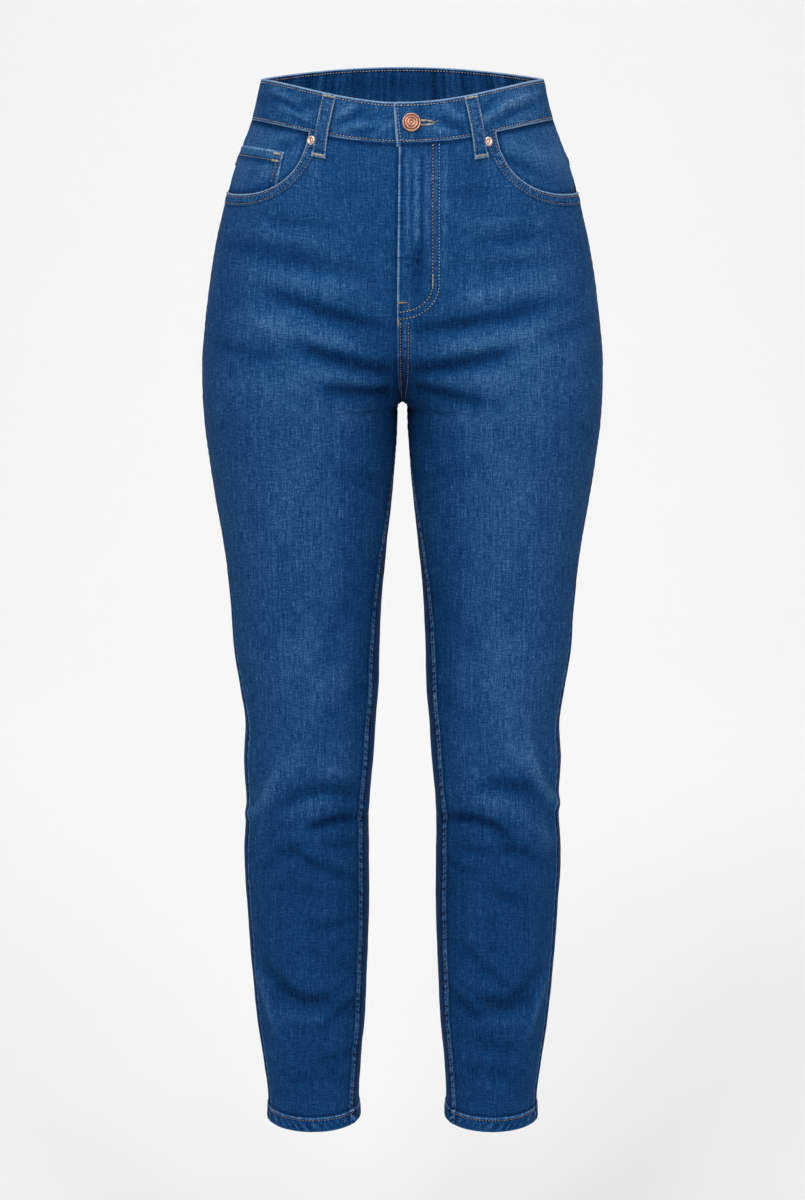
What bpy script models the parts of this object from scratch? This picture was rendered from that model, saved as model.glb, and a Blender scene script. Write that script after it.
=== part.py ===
# High-waisted skinny jeans in the hollow shape they have when worn, as cut and sewn pieces.
# Metres, +Z up. The origin is the middle of the waist opening, 3 mm under the band's top edge at
# the sides. The front faces -Y and the wearer's left is +X.

import math
from collections import namedtuple

import bmesh
import bpy
import numpy as np
from mathutils import Matrix, Vector

MM = 0.001

# Driving sizes
OUTSEAM = 980 * MM  # band's top edge to hem, down the side
RISE = 286 * MM  # band's top edge to crotch
BAND_HEIGHT = 36 * MM
BAND_THICK = 2.6 * MM  # the band is folded double
CLOTH = 1.2 * MM  # one layer of denim
HEM_HEIGHT = 14 * MM
HEM_THICK = 2.8 * MM  # the hem is turned up twice
SEAM_GAP = 0.3 * MM  # between neighbouring pieces
SIDE_LIFT = 3 * MM  # height of the waist at the sides, over the origin
FRONT_DIP = 18 * MM  # the waist's fall from the sides to the middle of the front
DIP_POWER = 3.3
BACK_RISE = 9 * MM  # and its rise to the middle of the back
LIFT_END = 250 * MM  # drop below which the levels are horizontal
HIP_SPLIT = 150 * MM  # drop at which one hip ring begins to part into two thighs
SPLIT_POWER = 1.6
CROTCH_START = 236 * MM  # drop below which the panels' rows fan out towards the crotch
SADDLE = 3 * MM  # drop over which the crotch opens into the gap between the legs

# One half of the jeans, level by level, in millimetres. outer is the side, inner is half the gap
# between the legs, front and back are the depth, and the square numbers are the exponents of
# the superellipse (2 is round), square_inner on the side towards the other leg. The turns are how far the seams sit forward, in degrees.
Section = namedtuple(
    "Section",
    "drop outer inner front back square_front square_back square_inner side_turn inseam_turn",
)
SECTIONS = [
    Section(0, 126, 0, -93, 95, 2.0, 2.0, 2.2, 0, 0),
    Section(35, 134.5, 0, -98, 99, 2.05, 2.05, 2.2, 0, 0),
    Section(70, 148, 0, -103, 107, 2.1, 2.1, 2.2, 0, 0),
    Section(105, 159, 0, -107, 118, 2.2, 2.15, 2.2, 0, 0),
    Section(150, 170, 0, -109, 131, 2.3, 2.15, 2.3, 1, 0),
    Section(200, 178, 0, -109, 139, 2.35, 2.15, 2.35, 2, 0),
    Section(250, 183, 5, -106, 134, 2.25, 2.15, 2.5, 4, 0),
    Section(290, 182.5, 5, -102, 117, 2.15, 2.1, 2.6, 6, 0),
    Section(330, 178.5, 6.2, -97, 102, 2.1, 2.05, 2.5, 8, 6),
    Section(375, 172, 9.6, -90, 90, 2.05, 2, 2.3, 11, 13),
    Section(425, 164, 15, -84, 80, 2.05, 2, 2.2, 14, 18),
    Section(475, 159.3, 19.5, -79, 73, 2.05, 2, 2.1, 17, 21),
    Section(520, 156.5, 21.4, -75, 68, 2.05, 2, 2.05, 19, 23),
    Section(560, 150.5, 22.6, -71, 64, 2.05, 2, 2.05, 21, 24),
    Section(585, 147, 24.8, -69, 61, 2.05, 2, 2.05, 22, 25),
    Section(620, 148.5, 27, -67, 60, 2.1, 2, 2.05, 22, 25),
    Section(670, 147, 31.2, -61, 62, 2.1, 2, 2.05, 22, 25),
    Section(715, 149.8, 31.6, -56, 66, 2.05, 2, 2.05, 22, 25),
    Section(770, 147.8, 31.6, -51, 68, 2.05, 2, 2.05, 22, 25),
    Section(830, 144, 33.8, -48, 65, 2.05, 2, 2.05, 22, 25),
    Section(880, 139.5, 36, -46, 61, 2.05, 2, 2.05, 22, 25),
    Section(930, 132.7, 40.4, -45, 55, 2.05, 2, 2.05, 22, 26),
    Section(958, 129.3, 41.8, -44, 51, 2.05, 2, 2.05, 21, 27),
    Section(980, 130, 40.8, -44, 51, 2.05, 2, 2.05, 20, 27),
]

# The largest folds, seen from the front or the back, in millimetres and degrees. A trough has a
# height below nothing. slant turns the fold's line from level, rising towards +X, and bend
# lifts both of its ends.
Fold = namedtuple("Fold", "face x drop length width slant bend height")
FOLDS = [
    # Creases over the hips and lap, most of them towards the crotch
    Fold("front", -104, 148, 48, 8, -12, -0.0020, -1.4),
    Fold("front", -98, 170, 42, 9, -8, 0.0005, 1.6),
    Fold("front", -64, 197, 52, 8, -16, 0.0006, -2.8),
    Fold("front", -84, 218, 52, 9, -12, 0.0005, 2.0),
    Fold("front", -50, 239, 46, 8, -17, 0.0010, -3.4),
    Fold("front", -54, 254, 36, 8, -12, 0.0, 1.6),
    Fold("front", -36, 267, 36, 8, -5, 0.0, -3.0),
    Fold("front", 99, 177, 46, 8, 6, 0.0005, 1.6),
    Fold("front", 64, 204, 62, 8, 9, 0.0004, -2.6),
    Fold("front", 78, 223, 52, 9, 9, 0.0005, 2.0),
    Fold("front", 50, 241, 48, 8, 12, 0.0008, -3.4),
    Fold("front", 56, 256, 36, 8, 2, 0.0, 1.5),
    Fold("front", 42, 270, 36, 8, -12, 0.0, -2.8),
    # Creases over the knees
    Fold("front", -66, 671, 26, 8, 8, -0.0100, -3.2),
    Fold("front", -86, 655, 24, 9, 12, -0.0060, 2.4),
    Fold("front", -80, 640, 38, 9, 8, -0.0100, -2.2),
    Fold("front", -127, 650, 36, 7, 62, 0.0040, 2.8),
    Fold("front", 72, 670, 32, 8, -12, -0.0100, -3.2),
    Fold("front", 84, 652, 28, 9, -6, -0.0060, 2.4),
    Fold("front", 98, 634, 36, 9, -8, -0.0100, -2.2),
    Fold("front", 127, 634, 48, 7, -66, 0.0030, 2.8),
    # Slack above the ankles
    Fold("front", -90, 847, 32, 9, -8, 0.0080, -2.2),
    Fold("front", 94, 852, 30, 9, 0, 0.0080, -2.2),
    # Creases under the seat and behind the knees
    Fold("back", -84, 300, 58, 9, 6, 0.0020, -3.4),
    Fold("back", 84, 303, 58, 9, -6, 0.0020, -3.2),
    Fold("back", -92, 322, 48, 10, 9, 0.0015, 1.8),
    Fold("back", 90, 326, 48, 10, -9, 0.0015, 1.8),
    Fold("back", -88, 640, 40, 9, 7, 0.0030, -3.2),
    Fold("back", 88, 646, 40, 9, -7, 0.0030, -3.4),
    Fold("back", -92, 672, 38, 9, -8, -0.0020, -2.8),
    Fold("back", 90, 676, 38, 9, 8, -0.0020, -2.6),
    Fold("back", -86, 704, 34, 9, 10, 0.0020, -2.0),
    Fold("back", 86, 700, 34, 9, -10, 0.0020, -2.2),
]
FOLD_TURN = 22 * MM  # depth over which a fold fades as the cloth turns to the other face
FOLD_CLEAR = 14 * MM  # folds fade this near the middle, where the legs nearly touch

# Yoke seam, as drops at the side seam and at the centre back
YOKE_SIDE = 76 * MM
YOKE_CENTRE = 112 * MM

# Scoop of the front pocket, as seen from the front
SCOOP_TOP = 80 * MM  # from the middle to the mouth's inmost point
SCOOP_SIDE = 160 * MM  # from the middle to the side seam
SCOOP_LEVEL = 20 * MM  # level at which the mouth's edge would run straight down
SCOOP_DROP = 98 * MM  # level at which the mouth reaches the side seam
SCOOP_SQUARE = 2.5
FACING_DEPTH = 1.7 * MM  # outer face of the piece behind the mouth
FACING_COLUMN = 4  # column of the front panel at which it begins
FACING_ROWS = 4

# Coin pocket, on the wearer's right
COIN_TOP = 56.5 * MM
COIN_TOP_X = 104 * MM
COIN_BOTTOM_X = 113 * MM

# Back pockets, laid out along the cloth from the centre back
POCKET_MIDDLE = 92 * MM
POCKET_TOP = 126 * MM
POCKET_SLOPE = 5 * MM
POCKET_WIDE = 132 * MM
POCKET_NARROW = 112 * MM
POCKET_SIDE = 122 * MM
POCKET_POINT = 146 * MM

BUTTON_X = 7.5 * MM
BUTTON_DROP = 18 * MM
BUTTON_RADIUS = 8.2 * MM
SHANK_RADIUS = 2.0 * MM
EYELET_RADIUS = 3.0 * MM
SLIT_LENGTH = 17 * MM
SLIT_WIDTH = 1.8 * MM
TAB_REACH = 5 * MM  # the band's upper end passes the middle by this much
UNDERLAP_REACH = 34 * MM  # the band's lower end runs on below it
RIVET_X = 78 * MM
RIVET_DROP = 42.5 * MM
RIVET_RADIUS = 4 * MM

DENIM = (0.035, 0.105, 0.275)
DENIM_WORN = (0.05, 0.14, 0.34)
DENIM_DARK = (0.02, 0.06, 0.17)
COPPER = (0.55, 0.24, 0.15)

ARC_STEPS = 64
SLOPE_STEP = 0.4 * MM
SLOPE_TURN = 0.01


# The hollow form ---------------------------------------------------------------------------


def smooth(value):
    value = np.clip(value, 0.0, 1.0)
    return value * value * (3 - 2 * value)


def column_at(name, drop):
    """One column of SECTIONS at these drops, on a smooth curve through the rows."""
    drops = np.array([row.drop for row in SECTIONS], float)
    values = np.array([getattr(row, name) for row in SECTIONS], float)
    slopes = np.gradient(values, drops)
    place = np.clip(np.asarray(drop) / MM, drops[0], drops[-1])
    i = np.clip(np.searchsorted(drops, place, side="right") - 1, 0, len(drops) - 2)
    span = drops[i + 1] - drops[i]
    f = (place - drops[i]) / span
    start = (1 + 2 * f) * (1 - f) ** 2 * values[i] + f * (1 - f) ** 2 * span * slopes[i]
    end = f * f * (3 - 2 * f) * values[i + 1] - f * f * (1 - f) * span * slopes[i + 1]
    return start + end


def ring_numbers(drop):
    """Centre, half width and half depth of one half's ring at each drop."""
    edge = SEAM_GAP / 2
    outer = column_at("outer", drop) * MM
    parting = np.clip((drop - HIP_SPLIT) / (RISE - HIP_SPLIT), 0, 1) ** SPLIT_POWER
    above = (2 * edge - outer * (1 - parting)) / (1 + parting)
    opening = np.clip((drop - RISE) / SADDLE, 0, 1)
    below = edge + (column_at("inner", drop) * MM - edge) * opening
    inner = np.where(drop < RISE, above, below)
    front = column_at("front", drop) * MM
    back = column_at("back", drop) * MM
    return (outer + inner) / 2, (outer - inner) / 2, (front + back) / 2, (back - front) / 2


def ring_xy(drop, angle):
    """A point of the ring: angle 0 is the side, -90 degrees the front and +90 the back."""
    centre_x, half_x, centre_y, half_y = ring_numbers(drop)
    square = np.where(
        np.sin(angle) < 0, column_at("square_front", drop), column_at("square_back", drop)
    )
    square = np.where(np.cos(angle) < 0, column_at("square_inner", drop), square)
    across = np.sign(np.cos(angle)) * np.abs(np.cos(angle)) ** (2 / square)
    along = np.sign(np.sin(angle)) * np.abs(np.sin(angle)) ** (2 / square)
    return centre_x + half_x * across, centre_y + half_y * along


def seam_angles(drop):
    """Angles of the centre front or inseam, the side seam, and the centre back or inseam."""
    centre_x, half_x, _, _ = ring_numbers(drop)
    reach = np.clip((centre_x - SEAM_GAP / 2) / half_x, 0, 1)
    crossing = np.arccos(reach ** (column_at("square_inner", drop) / 2))
    front, back = -np.pi + crossing, np.pi - crossing
    turn = np.radians(column_at("inseam_turn", drop))
    legs = drop >= RISE
    front = np.where(legs, -np.pi + turn, front)
    back = np.where(legs, np.pi + turn, back)
    return front, -np.radians(column_at("side_turn", drop)), back


def with_height(x, y, drop):
    """Points from the ring's x and y and their drop, with the curve of the waist's edge."""
    _, _, centre_y, half_y = ring_numbers(drop)
    share = np.clip((y - centre_y) / half_y, -1, 1)
    dip = -FRONT_DIP * np.abs(share) ** DIP_POWER
    lift = SIDE_LIFT + np.where(share < 0, dip, BACK_RISE * share**2)
    return np.stack([x, y, lift * (1 - smooth(drop / LIFT_END)) - drop], axis=-1)


def place_on_ring(around, drop):
    """Points of the left half before it is folded, and their angles. around runs from 0 at the
    centre front or inseam to 1 at the side seam and 2 at the centre back or inseam, evenly
    along the cloth."""
    front, side, back = seam_angles(drop)
    is_front = around <= 1
    first = np.where(is_front, front, side)
    last = np.where(is_front, side, back)
    share = np.where(is_front, around, around - 1)
    angles = first[..., None] + (last - first)[..., None] * np.linspace(0, 1, ARC_STEPS)
    x, y = ring_xy(np.repeat(drop[..., None], ARC_STEPS, axis=-1), angles)
    lengths = np.hypot(np.diff(x, axis=-1), np.diff(y, axis=-1))
    total = np.concatenate([np.zeros(drop.shape + (1,)), np.cumsum(lengths, axis=-1)], axis=-1)
    wanted = SEAM_GAP / 2 + share * (total[..., -1] - SEAM_GAP)
    i = np.clip((total <= wanted[..., None]).sum(axis=-1) - 1, 0, ARC_STEPS - 2)[..., None]
    before = np.take_along_axis(total, i, -1)
    f = (wanted[..., None] - before) / (np.take_along_axis(total, i + 1, -1) - before)
    found = [
        (np.take_along_axis(c, i, -1) * (1 - f) + np.take_along_axis(c, i + 1, -1) * f)[..., 0]
        for c in (x, y, angles)
    ]
    return with_height(found[0], found[1], drop), found[2]


def bare_points(around, drop):
    around, drop = np.broadcast_arrays(np.asarray(around, float), np.asarray(drop, float))
    return place_on_ring(around, drop)[0]


def form_normals(angle, drop):
    """Outward directions of the smooth form of the left half."""
    ends = []
    for turn, step in ((SLOPE_TURN, 0), (-SLOPE_TURN, 0), (0, SLOPE_STEP), (0, -SLOPE_STEP)):
        level = np.clip(drop + step, 0, OUTSEAM)
        ends.append(with_height(*ring_xy(level, angle + turn), level))
    normal = np.cross(ends[2] - ends[3], ends[0] - ends[1])
    return normal / np.linalg.norm(normal, axis=-1, keepdims=True)


def fold_height(points):
    """How far the folds lift the cloth at these points of the whole garment."""
    x, y, z = points[..., 0], points[..., 1], points[..., 2]
    middle = ring_numbers(np.clip(-z, 0, OUTSEAM))[2]
    frontness = smooth(0.5 + (middle - y) / FOLD_TURN / 2)
    lift = np.zeros(x.shape)
    for fold in FOLDS:
        slant = math.radians(fold.slant)
        dx, dz = x / MM - fold.x, z / MM + fold.drop
        along = dx * math.cos(slant) + dz * math.sin(slant)
        across = dz * math.cos(slant) - dx * math.sin(slant) - fold.bend * along**2
        shape = np.exp(-((along / fold.length) ** 4) - (across / fold.width) ** 2)
        lift += fold.height * MM * shape * (frontness if fold.face == "front" else 1 - frontness)
    return lift * smooth(np.abs(x) / FOLD_CLEAR)


def cloth_points(side, around, drop, depth):
    """Points on the garment, moved in from the cloth's outer face by depth. side is +1 for the
    wearer's left half and -1 for the right."""
    around, drop = np.broadcast_arrays(np.asarray(around, float), np.asarray(drop, float))
    mirror = np.array([side, 1, 1])
    points, angle = place_on_ring(around, drop)
    points, normal = points * mirror, form_normals(angle, drop) * mirror
    lift = fold_height(points) - depth
    return points + normal * lift[..., None], normal


def half_length(drop, back):
    """Length of cloth from the side seam to the middle or inseam, at each drop."""
    drop = np.ravel(drop)
    shares = np.linspace(1 + 1e-6, 2, 60) if back else np.linspace(0, 1, 60)
    points = bare_points(shares[:, None], np.broadcast_to(drop, (60, len(drop))))
    return np.hypot(*np.moveaxis(np.diff(points[..., :2], axis=0), -1, 0)).sum(axis=0)


def seam_drop(drop, back):
    """The drop at which a panel's row meets the middle. Near the crotch, where the seam runs
    under, the rows lie closer together there than at the side, evenly along the seam."""
    levels = np.linspace(CROTCH_START, RISE, 200)
    seam = bare_points(2.0 if back else 0.0, levels)
    run = np.concatenate([[0], np.cumsum(np.linalg.norm(np.diff(seam, axis=0), axis=1))])
    share = (drop - CROTCH_START) / (RISE - CROTCH_START)
    return np.where((share > 0) & (share < 1), np.interp(share * run[-1], run, levels), drop)


def around_at(drop, x, back=False):
    """The place around the ring at which the front or back lies x from the middle."""
    places = np.linspace(1, 2, 240) if back else np.linspace(0, 1, 240)
    xs = bare_points(places, np.full(places.shape, drop))[:, 0]
    order = np.argsort(xs[: np.argmax(xs) + 1]) if not back else np.argsort(xs[np.argmax(xs) :])
    chosen = places[: np.argmax(xs) + 1] if not back else places[np.argmax(xs) :]
    known = xs[: np.argmax(xs) + 1] if not back else xs[np.argmax(xs) :]
    return np.interp(x, known[order], chosen[order])


# Making solids -----------------------------------------------------------------------------


def clear_scene():
    for thing in list(bpy.data.objects):
        bpy.data.objects.remove(thing, do_unlink=True)
    for name in ("Skinny jeans", "Cutters"):
        group = bpy.data.collections.new(name)
        bpy.context.scene.collection.children.link(group)


def finish(name, colour, roughness, metallic=0.0):
    material = bpy.data.materials.new(name + "_finish")
    material.use_nodes = True
    shader = material.node_tree.nodes["Principled BSDF"]
    shader.inputs["Base Color"].default_value = (*colour, 1)
    shader.inputs["Roughness"].default_value = roughness
    shader.inputs["Metallic"].default_value = metallic
    return material


def object_of(bm, name, material=None, group="Skinny jeans"):
    mesh = bpy.data.meshes.new(name)
    bm.to_mesh(mesh)
    bm.free()
    made = bpy.data.objects.new(name, mesh)
    bpy.data.collections[group].objects.link(made)
    if material:
        mesh.materials.append(material)
        mesh.shade_smooth()
        mesh.set_sharp_from_angle(angle=math.radians(40))
    else:
        made.hide_render = True
        made.display_type = "WIRE"
    return made


def cloth_wall(name, place, columns, rows, colour=DENIM, diagonal="FIXED"):
    """A wall of cloth from two grids, its outer and inner faces, bridged round the rim.
    place(across, down, inside) gives the points for shares from 0 to 1 of the grid."""
    bm = bmesh.new()
    for inside in (False, True):
        grid = bmesh.ops.create_grid(bm, x_segments=columns, y_segments=rows, size=0.5)
        across = np.array([v.co.x + 0.5 for v in grid["verts"]])
        down = np.array([0.5 - v.co.y for v in grid["verts"]])
        for vert, point in zip(grid["verts"], place(across, down, inside)):
            vert.co = point
    # The same diagonals in every layer keep pieces with shared grid lines parallel.
    bmesh.ops.triangulate(bm, faces=bm.faces, quad_method=diagonal)
    rim = [edge for edge in bm.edges if edge.is_boundary]
    bmesh.ops.bridge_loops(bm, edges=rim)
    bmesh.ops.recalc_face_normals(bm, faces=bm.faces)
    return object_of(bm, name, finish(name, colour, 0.85))


def turned(name, profile, segments, axis_point, axis, colour, roughness):
    """A round metal piece: a profile of (radius, height) turned about an axis."""
    bm = bmesh.new()
    verts = [bm.verts.new((radius, 0, height)) for radius, height in profile]
    for first, second in zip(verts, verts[1:]):
        bm.edges.new((first, second))
    mesh = bpy.data.meshes.new(name)
    bm.to_mesh(mesh)
    bm.free()
    made = bpy.data.objects.new(name, mesh)
    bpy.data.collections["Skinny jeans"].objects.link(made)
    mesh.materials.append(finish(name, colour, roughness, 1.0))
    screw = made.modifiers.new("Turn", "SCREW")
    screw.steps = screw.render_steps = segments
    screw.use_merge_vertices = True
    screw.merge_threshold = 0.00002
    screw.use_normal_calculate = True
    made.matrix_world = Matrix.Translation(axis_point) @ axis.to_track_quat("Z", "Y").to_matrix().to_4x4()
    return made


# Panels ------------------------------------------------------------------------------------

# Levels of the panels below the pockets, closer together where the cloth creases
LEVELS = [
    (160, 12), (196, 10), (236, 7.7), (290, 5), (295, 9), (313, 12),
    (340, 15), (400, 27), (562, 13.6), (630, 13.75), (740, 17), (790, 27), (950, 8), (965.6, 8),
]  # fmt: skip
PANEL_TOP_ROWS = 6
PANEL_COLUMNS = 10


def panel_levels():
    """Drops of the rows of a panel, from its free top part's end to the hem."""
    drops = [LEVELS[0][0]]
    for (start, step), (end, _) in zip(LEVELS, LEVELS[1:]):
        count = max(1, round((end - start) / step))
        drops += [start + (end - start) * i / count for i in range(1, count + 1)]
    hem_top = (OUTSEAM - HEM_HEIGHT) / MM
    return np.array(drops + [hem_top + 0.4, OUTSEAM / MM]) * MM


def panel_depth(drop, inside):
    """Depth of a panel's face below the smooth form. The hem stands out on both sides."""
    hem = drop > OUTSEAM - HEM_HEIGHT
    outer = np.where(hem, -(HEM_THICK - CLOTH) / 2, 0)
    return np.where(hem, outer + HEM_THICK, CLOTH) if inside else outer


def panel(name, side, back, top_edge):
    """A front or back panel. top_edge gives the drop of its top for places around."""
    levels = panel_levels()
    rows = PANEL_TOP_ROWS + len(levels) - 1

    def place(across, down, inside):
        around = 1 + across if back else across
        if back:
            around = np.maximum(around, 1 + 1e-6)
        row = down * rows
        top = top_edge(around)
        upper = top + (levels[0] - top) * row / PANEL_TOP_ROWS
        lower = np.interp(row - PANEL_TOP_ROWS, np.arange(len(levels)), levels)
        drop = np.where(row < PANEL_TOP_ROWS, upper, lower)
        at_seam = seam_drop(drop, back)
        drop = drop + (at_seam - drop) * (around - 1) ** 2
        spread = half_length(at_seam, back) / half_length(drop, back)
        around = 1 + (around - 1) * spread
        return cloth_points(side, around, drop, panel_depth(drop, inside))[0]

    return cloth_wall(name, place, PANEL_COLUMNS, rows, diagonal="FIXED" if back else "ALTERNATE")


def band_seam(around):
    return np.full(np.shape(around), BAND_HEIGHT + SEAM_GAP)


def yoke_seam(around):
    share = np.clip(around - 1, 0, 1)
    return YOKE_SIDE + (YOKE_CENTRE - YOKE_SIDE) * share


def scoop_cutter(name, side, inset=0.0):
    """A prism over the pocket mouth, above a quarter curve, made smaller by inset."""
    count = 14
    wide, deep = SCOOP_SIDE - SCOOP_TOP - inset, SCOOP_DROP - SCOOP_LEVEL - inset
    outline = [(SCOOP_SIDE - wide, 0.05)]
    for i in range(count + 1):
        angle = math.pi / 2 * i / count
        across = math.cos(angle) ** (2 / SCOOP_SQUARE) if i < count else 0
        outline.append(
            (SCOOP_SIDE - wide * across, -SCOOP_LEVEL - deep * math.sin(angle) ** (2 / SCOOP_SQUARE))
        )
    outline += [(0.26, -SCOOP_LEVEL - deep), (0.26, 0.05)]
    bm = bmesh.new()
    face = bm.faces.new([bm.verts.new((side * x, -0.25, z)) for x, z in outline])
    swept = bmesh.ops.extrude_face_region(bm, geom=[face])
    bmesh.ops.translate(
        bm, vec=(0, 0.35, 0), verts=[g for g in swept["geom"] if isinstance(g, bmesh.types.BMVert)]
    )
    bmesh.ops.recalc_face_normals(bm, faces=bm.faces)
    return object_of(bm, name, group="Cutters")


def cut(thing, cutter, operation="DIFFERENCE"):
    boolean = thing.modifiers.new("Cut", "BOOLEAN")
    boolean.operation = operation
    boolean.object = cutter


def front_panel(name, side):
    made = panel(name, side, False, band_seam)
    cut(made, scoop_cutter(name + "_scoop", side))
    return made


def yoke(name, side):
    def place(across, down, inside):
        around = np.maximum(1 + across, 1 + 1e-6)
        top = BAND_HEIGHT + SEAM_GAP
        drop = top + (yoke_seam(around) - SEAM_GAP - top) * down
        return cloth_points(side, around, drop, CLOTH if inside else 0)[0]

    return cloth_wall(name, place, 11, 5)


def pocket_facing(name, side):
    """The hip piece that shows in the pocket mouth, on the front panel's own grid lines."""
    first = FACING_COLUMN / PANEL_COLUMNS

    def place(across, down, inside):
        around = first + (1 - first) * across
        top = BAND_HEIGHT + SEAM_GAP
        drop = top + (LEVELS[0][0] * MM - top) * down * FACING_ROWS / PANEL_TOP_ROWS
        depth = FACING_DEPTH + (CLOTH if inside else 0)
        return cloth_points(side, around, drop, depth)[0]

    columns = PANEL_COLUMNS - FACING_COLUMN
    return cloth_wall(name, place, columns, FACING_ROWS, DENIM_WORN, "ALTERNATE")


def coin_pocket(name):
    """A small patch on the right-hand facing, open at the top, its outer edge at the side seam
    and its lower part under the front panel's edge."""

    def place(across, down, inside):
        drop = COIN_TOP + (SCOOP_DROP + 6 * MM - COIN_TOP) * down
        inner = COIN_TOP_X + (COIN_BOTTOM_X - COIN_TOP_X) * down
        start = np.array([around_at(d, x) for d, x in zip(drop, inner)])
        around = start + (0.995 - start) * across
        lift = SEAM_GAP + (0 if inside else CLOTH)
        return cloth_points(-1, around, drop, FACING_DEPTH - lift)[0]

    made = cloth_wall(name, place, 7, 6, DENIM_WORN)
    cut(made, scoop_cutter(name + "_mouth", -1, SEAM_GAP), "INTERSECT")
    return made


def back_pocket(name, side):
    """A patch pocket with a pointed bottom, lying on the back panel and sewn on three sides."""

    def place(across, down, inside):
        from_middle = np.abs(2 * across - 1)
        height = POCKET_POINT + (POCKET_SIDE - POCKET_POINT) * from_middle
        drop = POCKET_TOP + POCKET_SLOPE * (1 - across) + height * down
        width = POCKET_WIDE + (POCKET_NARROW - POCKET_WIDE) * down
        inward = POCKET_MIDDLE + width * (0.5 - across)
        around = 2 - inward / half_length(drop, True)
        lift = SEAM_GAP + (0 if inside else CLOTH)
        return cloth_points(side, around, drop, -lift)[0]

    return cloth_wall(name, place, 14, 13)


# Waistband, loops and metal ----------------------------------------------------------------


def band_points(around, drop, depth):
    """Points of the band, whose place runs from 0 at the centre front round the wearer's left
    to 2 at the centre back and on to 4 at the centre front. Past either end it goes on."""
    wrapped = np.mod(around, 4)
    left = cloth_points(1, np.minimum(wrapped, 2), drop, depth)[0]
    right = cloth_points(-1, np.minimum(4 - wrapped, 2), drop, depth)[0]
    return np.where((wrapped <= 2)[..., None], left, right)


def waistband(name):
    per_place = 1 / half_length(BAND_HEIGHT / 2, False)[0]
    start = -TAB_REACH * per_place
    end = 4 + UNDERLAP_REACH * per_place
    sink = BAND_THICK + SEAM_GAP + 0.4 * MM
    proud = (BAND_THICK - CLOTH) / 2

    def place(across, down, inside):
        around = start + (end - start) * across
        drop = BAND_HEIGHT * down
        under = sink * smooth((around - 4 + 42 * MM * per_place) / (28 * MM * per_place))
        return band_points(around, drop, under - proud + (BAND_THICK if inside else 0))

    made = cloth_wall(name, place, 84, 2, DENIM)
    cut(made, buttonhole_cutter("buttonhole"))
    return made


def front_spot(x, drop, depth=0.0):
    """A point and the outward direction at x on the front, either side of the middle."""
    side = 1 if x > 0 else -1
    points, normal = cloth_points(side, around_at(drop, abs(x)), drop, depth)
    return Vector(points), Vector(normal)


def buttonhole_cutter(name):
    """A keyhole: a round eye at the button and a slit towards the side, through the upper end
    of the band alone."""
    spot, normal = front_spot(BUTTON_X, BUTTON_DROP)
    level = Vector((1, 0, 0)) - normal * normal.x
    level.normalize()
    rising = level.cross(normal)
    count = 12
    outline = []
    opening = math.asin(SLIT_WIDTH / 2 / EYELET_RADIUS)
    for i in range(count + 1):
        angle = opening + (2 * math.pi - 2 * opening) * i / count
        outline.append((EYELET_RADIUS * math.cos(angle), EYELET_RADIUS * math.sin(angle)))
    outline += [(SLIT_LENGTH, -SLIT_WIDTH / 2), (SLIT_LENGTH, SLIT_WIDTH / 2)]
    proud = (BAND_THICK - CLOTH) / 2
    start = spot + normal * 6 * MM
    bm = bmesh.new()
    face = bm.faces.new([bm.verts.new(start + level * x + rising * z) for x, z in outline])
    swept = bmesh.ops.extrude_face_region(bm, geom=[face])
    reach = 6 * MM + BAND_THICK - proud + 0.35 * MM
    moved = [g for g in swept["geom"] if isinstance(g, bmesh.types.BMVert)]
    bmesh.ops.translate(bm, vec=-normal * reach, verts=moved)
    bmesh.ops.recalc_face_normals(bm, faces=bm.faces)
    return object_of(bm, name, group="Cutters")


# Belt loops: where their top and bottom ends lie from the middle
Loop = namedtuple("Loop", "name side back top_x bottom_x")
LOOPS = [
    Loop("belt_loop_front_left", 1, False, 59, 69.5),
    Loop("belt_loop_front_right", -1, False, 59, 69.5),
    Loop("belt_loop_back_left", 1, True, 82, 89),
    Loop("belt_loop_back_right", -1, True, 82, 89),
]
LOOP_WIDTH = 9.8 * MM
LOOP_THICK = 1.8 * MM
LOOP_TOP = 1.5 * MM
LOOP_BOTTOM = 56 * MM
LOOP_SLACK = 3 * MM  # how far it stands off the band in the middle


def loop_depth(drop, inside):
    """Depth of a loop's faces: on the band above, on the panel below, and slack between."""
    proud = (BAND_THICK - CLOTH) / 2
    share = (drop - LOOP_TOP) / (LOOP_BOTTOM - LOOP_TOP)
    seat = proud * (1 - smooth((drop - BAND_HEIGHT - 2 * MM) / (8 * MM)))
    stand = seat + SEAM_GAP + LOOP_SLACK * np.sin(np.pi * np.clip(share, 0, 1)) ** 0.8
    return -(stand if inside else stand + LOOP_THICK)


def belt_loop(loop):
    def place(across, down, inside):
        drop = LOOP_TOP + (LOOP_BOTTOM - LOOP_TOP) * down
        x = (loop.top_x + (loop.bottom_x - loop.top_x) * down) * MM
        x = x + LOOP_WIDTH * (across - 0.5)
        around = np.array([around_at(d, v, loop.back) for d, v in zip(drop, x)])
        return cloth_points(loop.side, around, drop, loop_depth(drop, inside))[0]

    return cloth_wall(loop.name, place, 2, 12, DENIM_WORN)


def centre_back_loop(name):
    def place(across, down, inside):
        drop = LOOP_TOP + (LOOP_BOTTOM - LOOP_TOP) * down
        x = LOOP_WIDTH * (across - 0.5)
        points = []
        for d, v, deep in zip(drop, x, loop_depth(drop, inside)):
            spot = around_at(d, max(abs(v), SEAM_GAP), back=True)
            point = cloth_points(1, spot, d, deep)[0]
            points.append((v, point[1], point[2]))
        return points

    return cloth_wall(name, place, 2, 12, DENIM_WORN)


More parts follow.
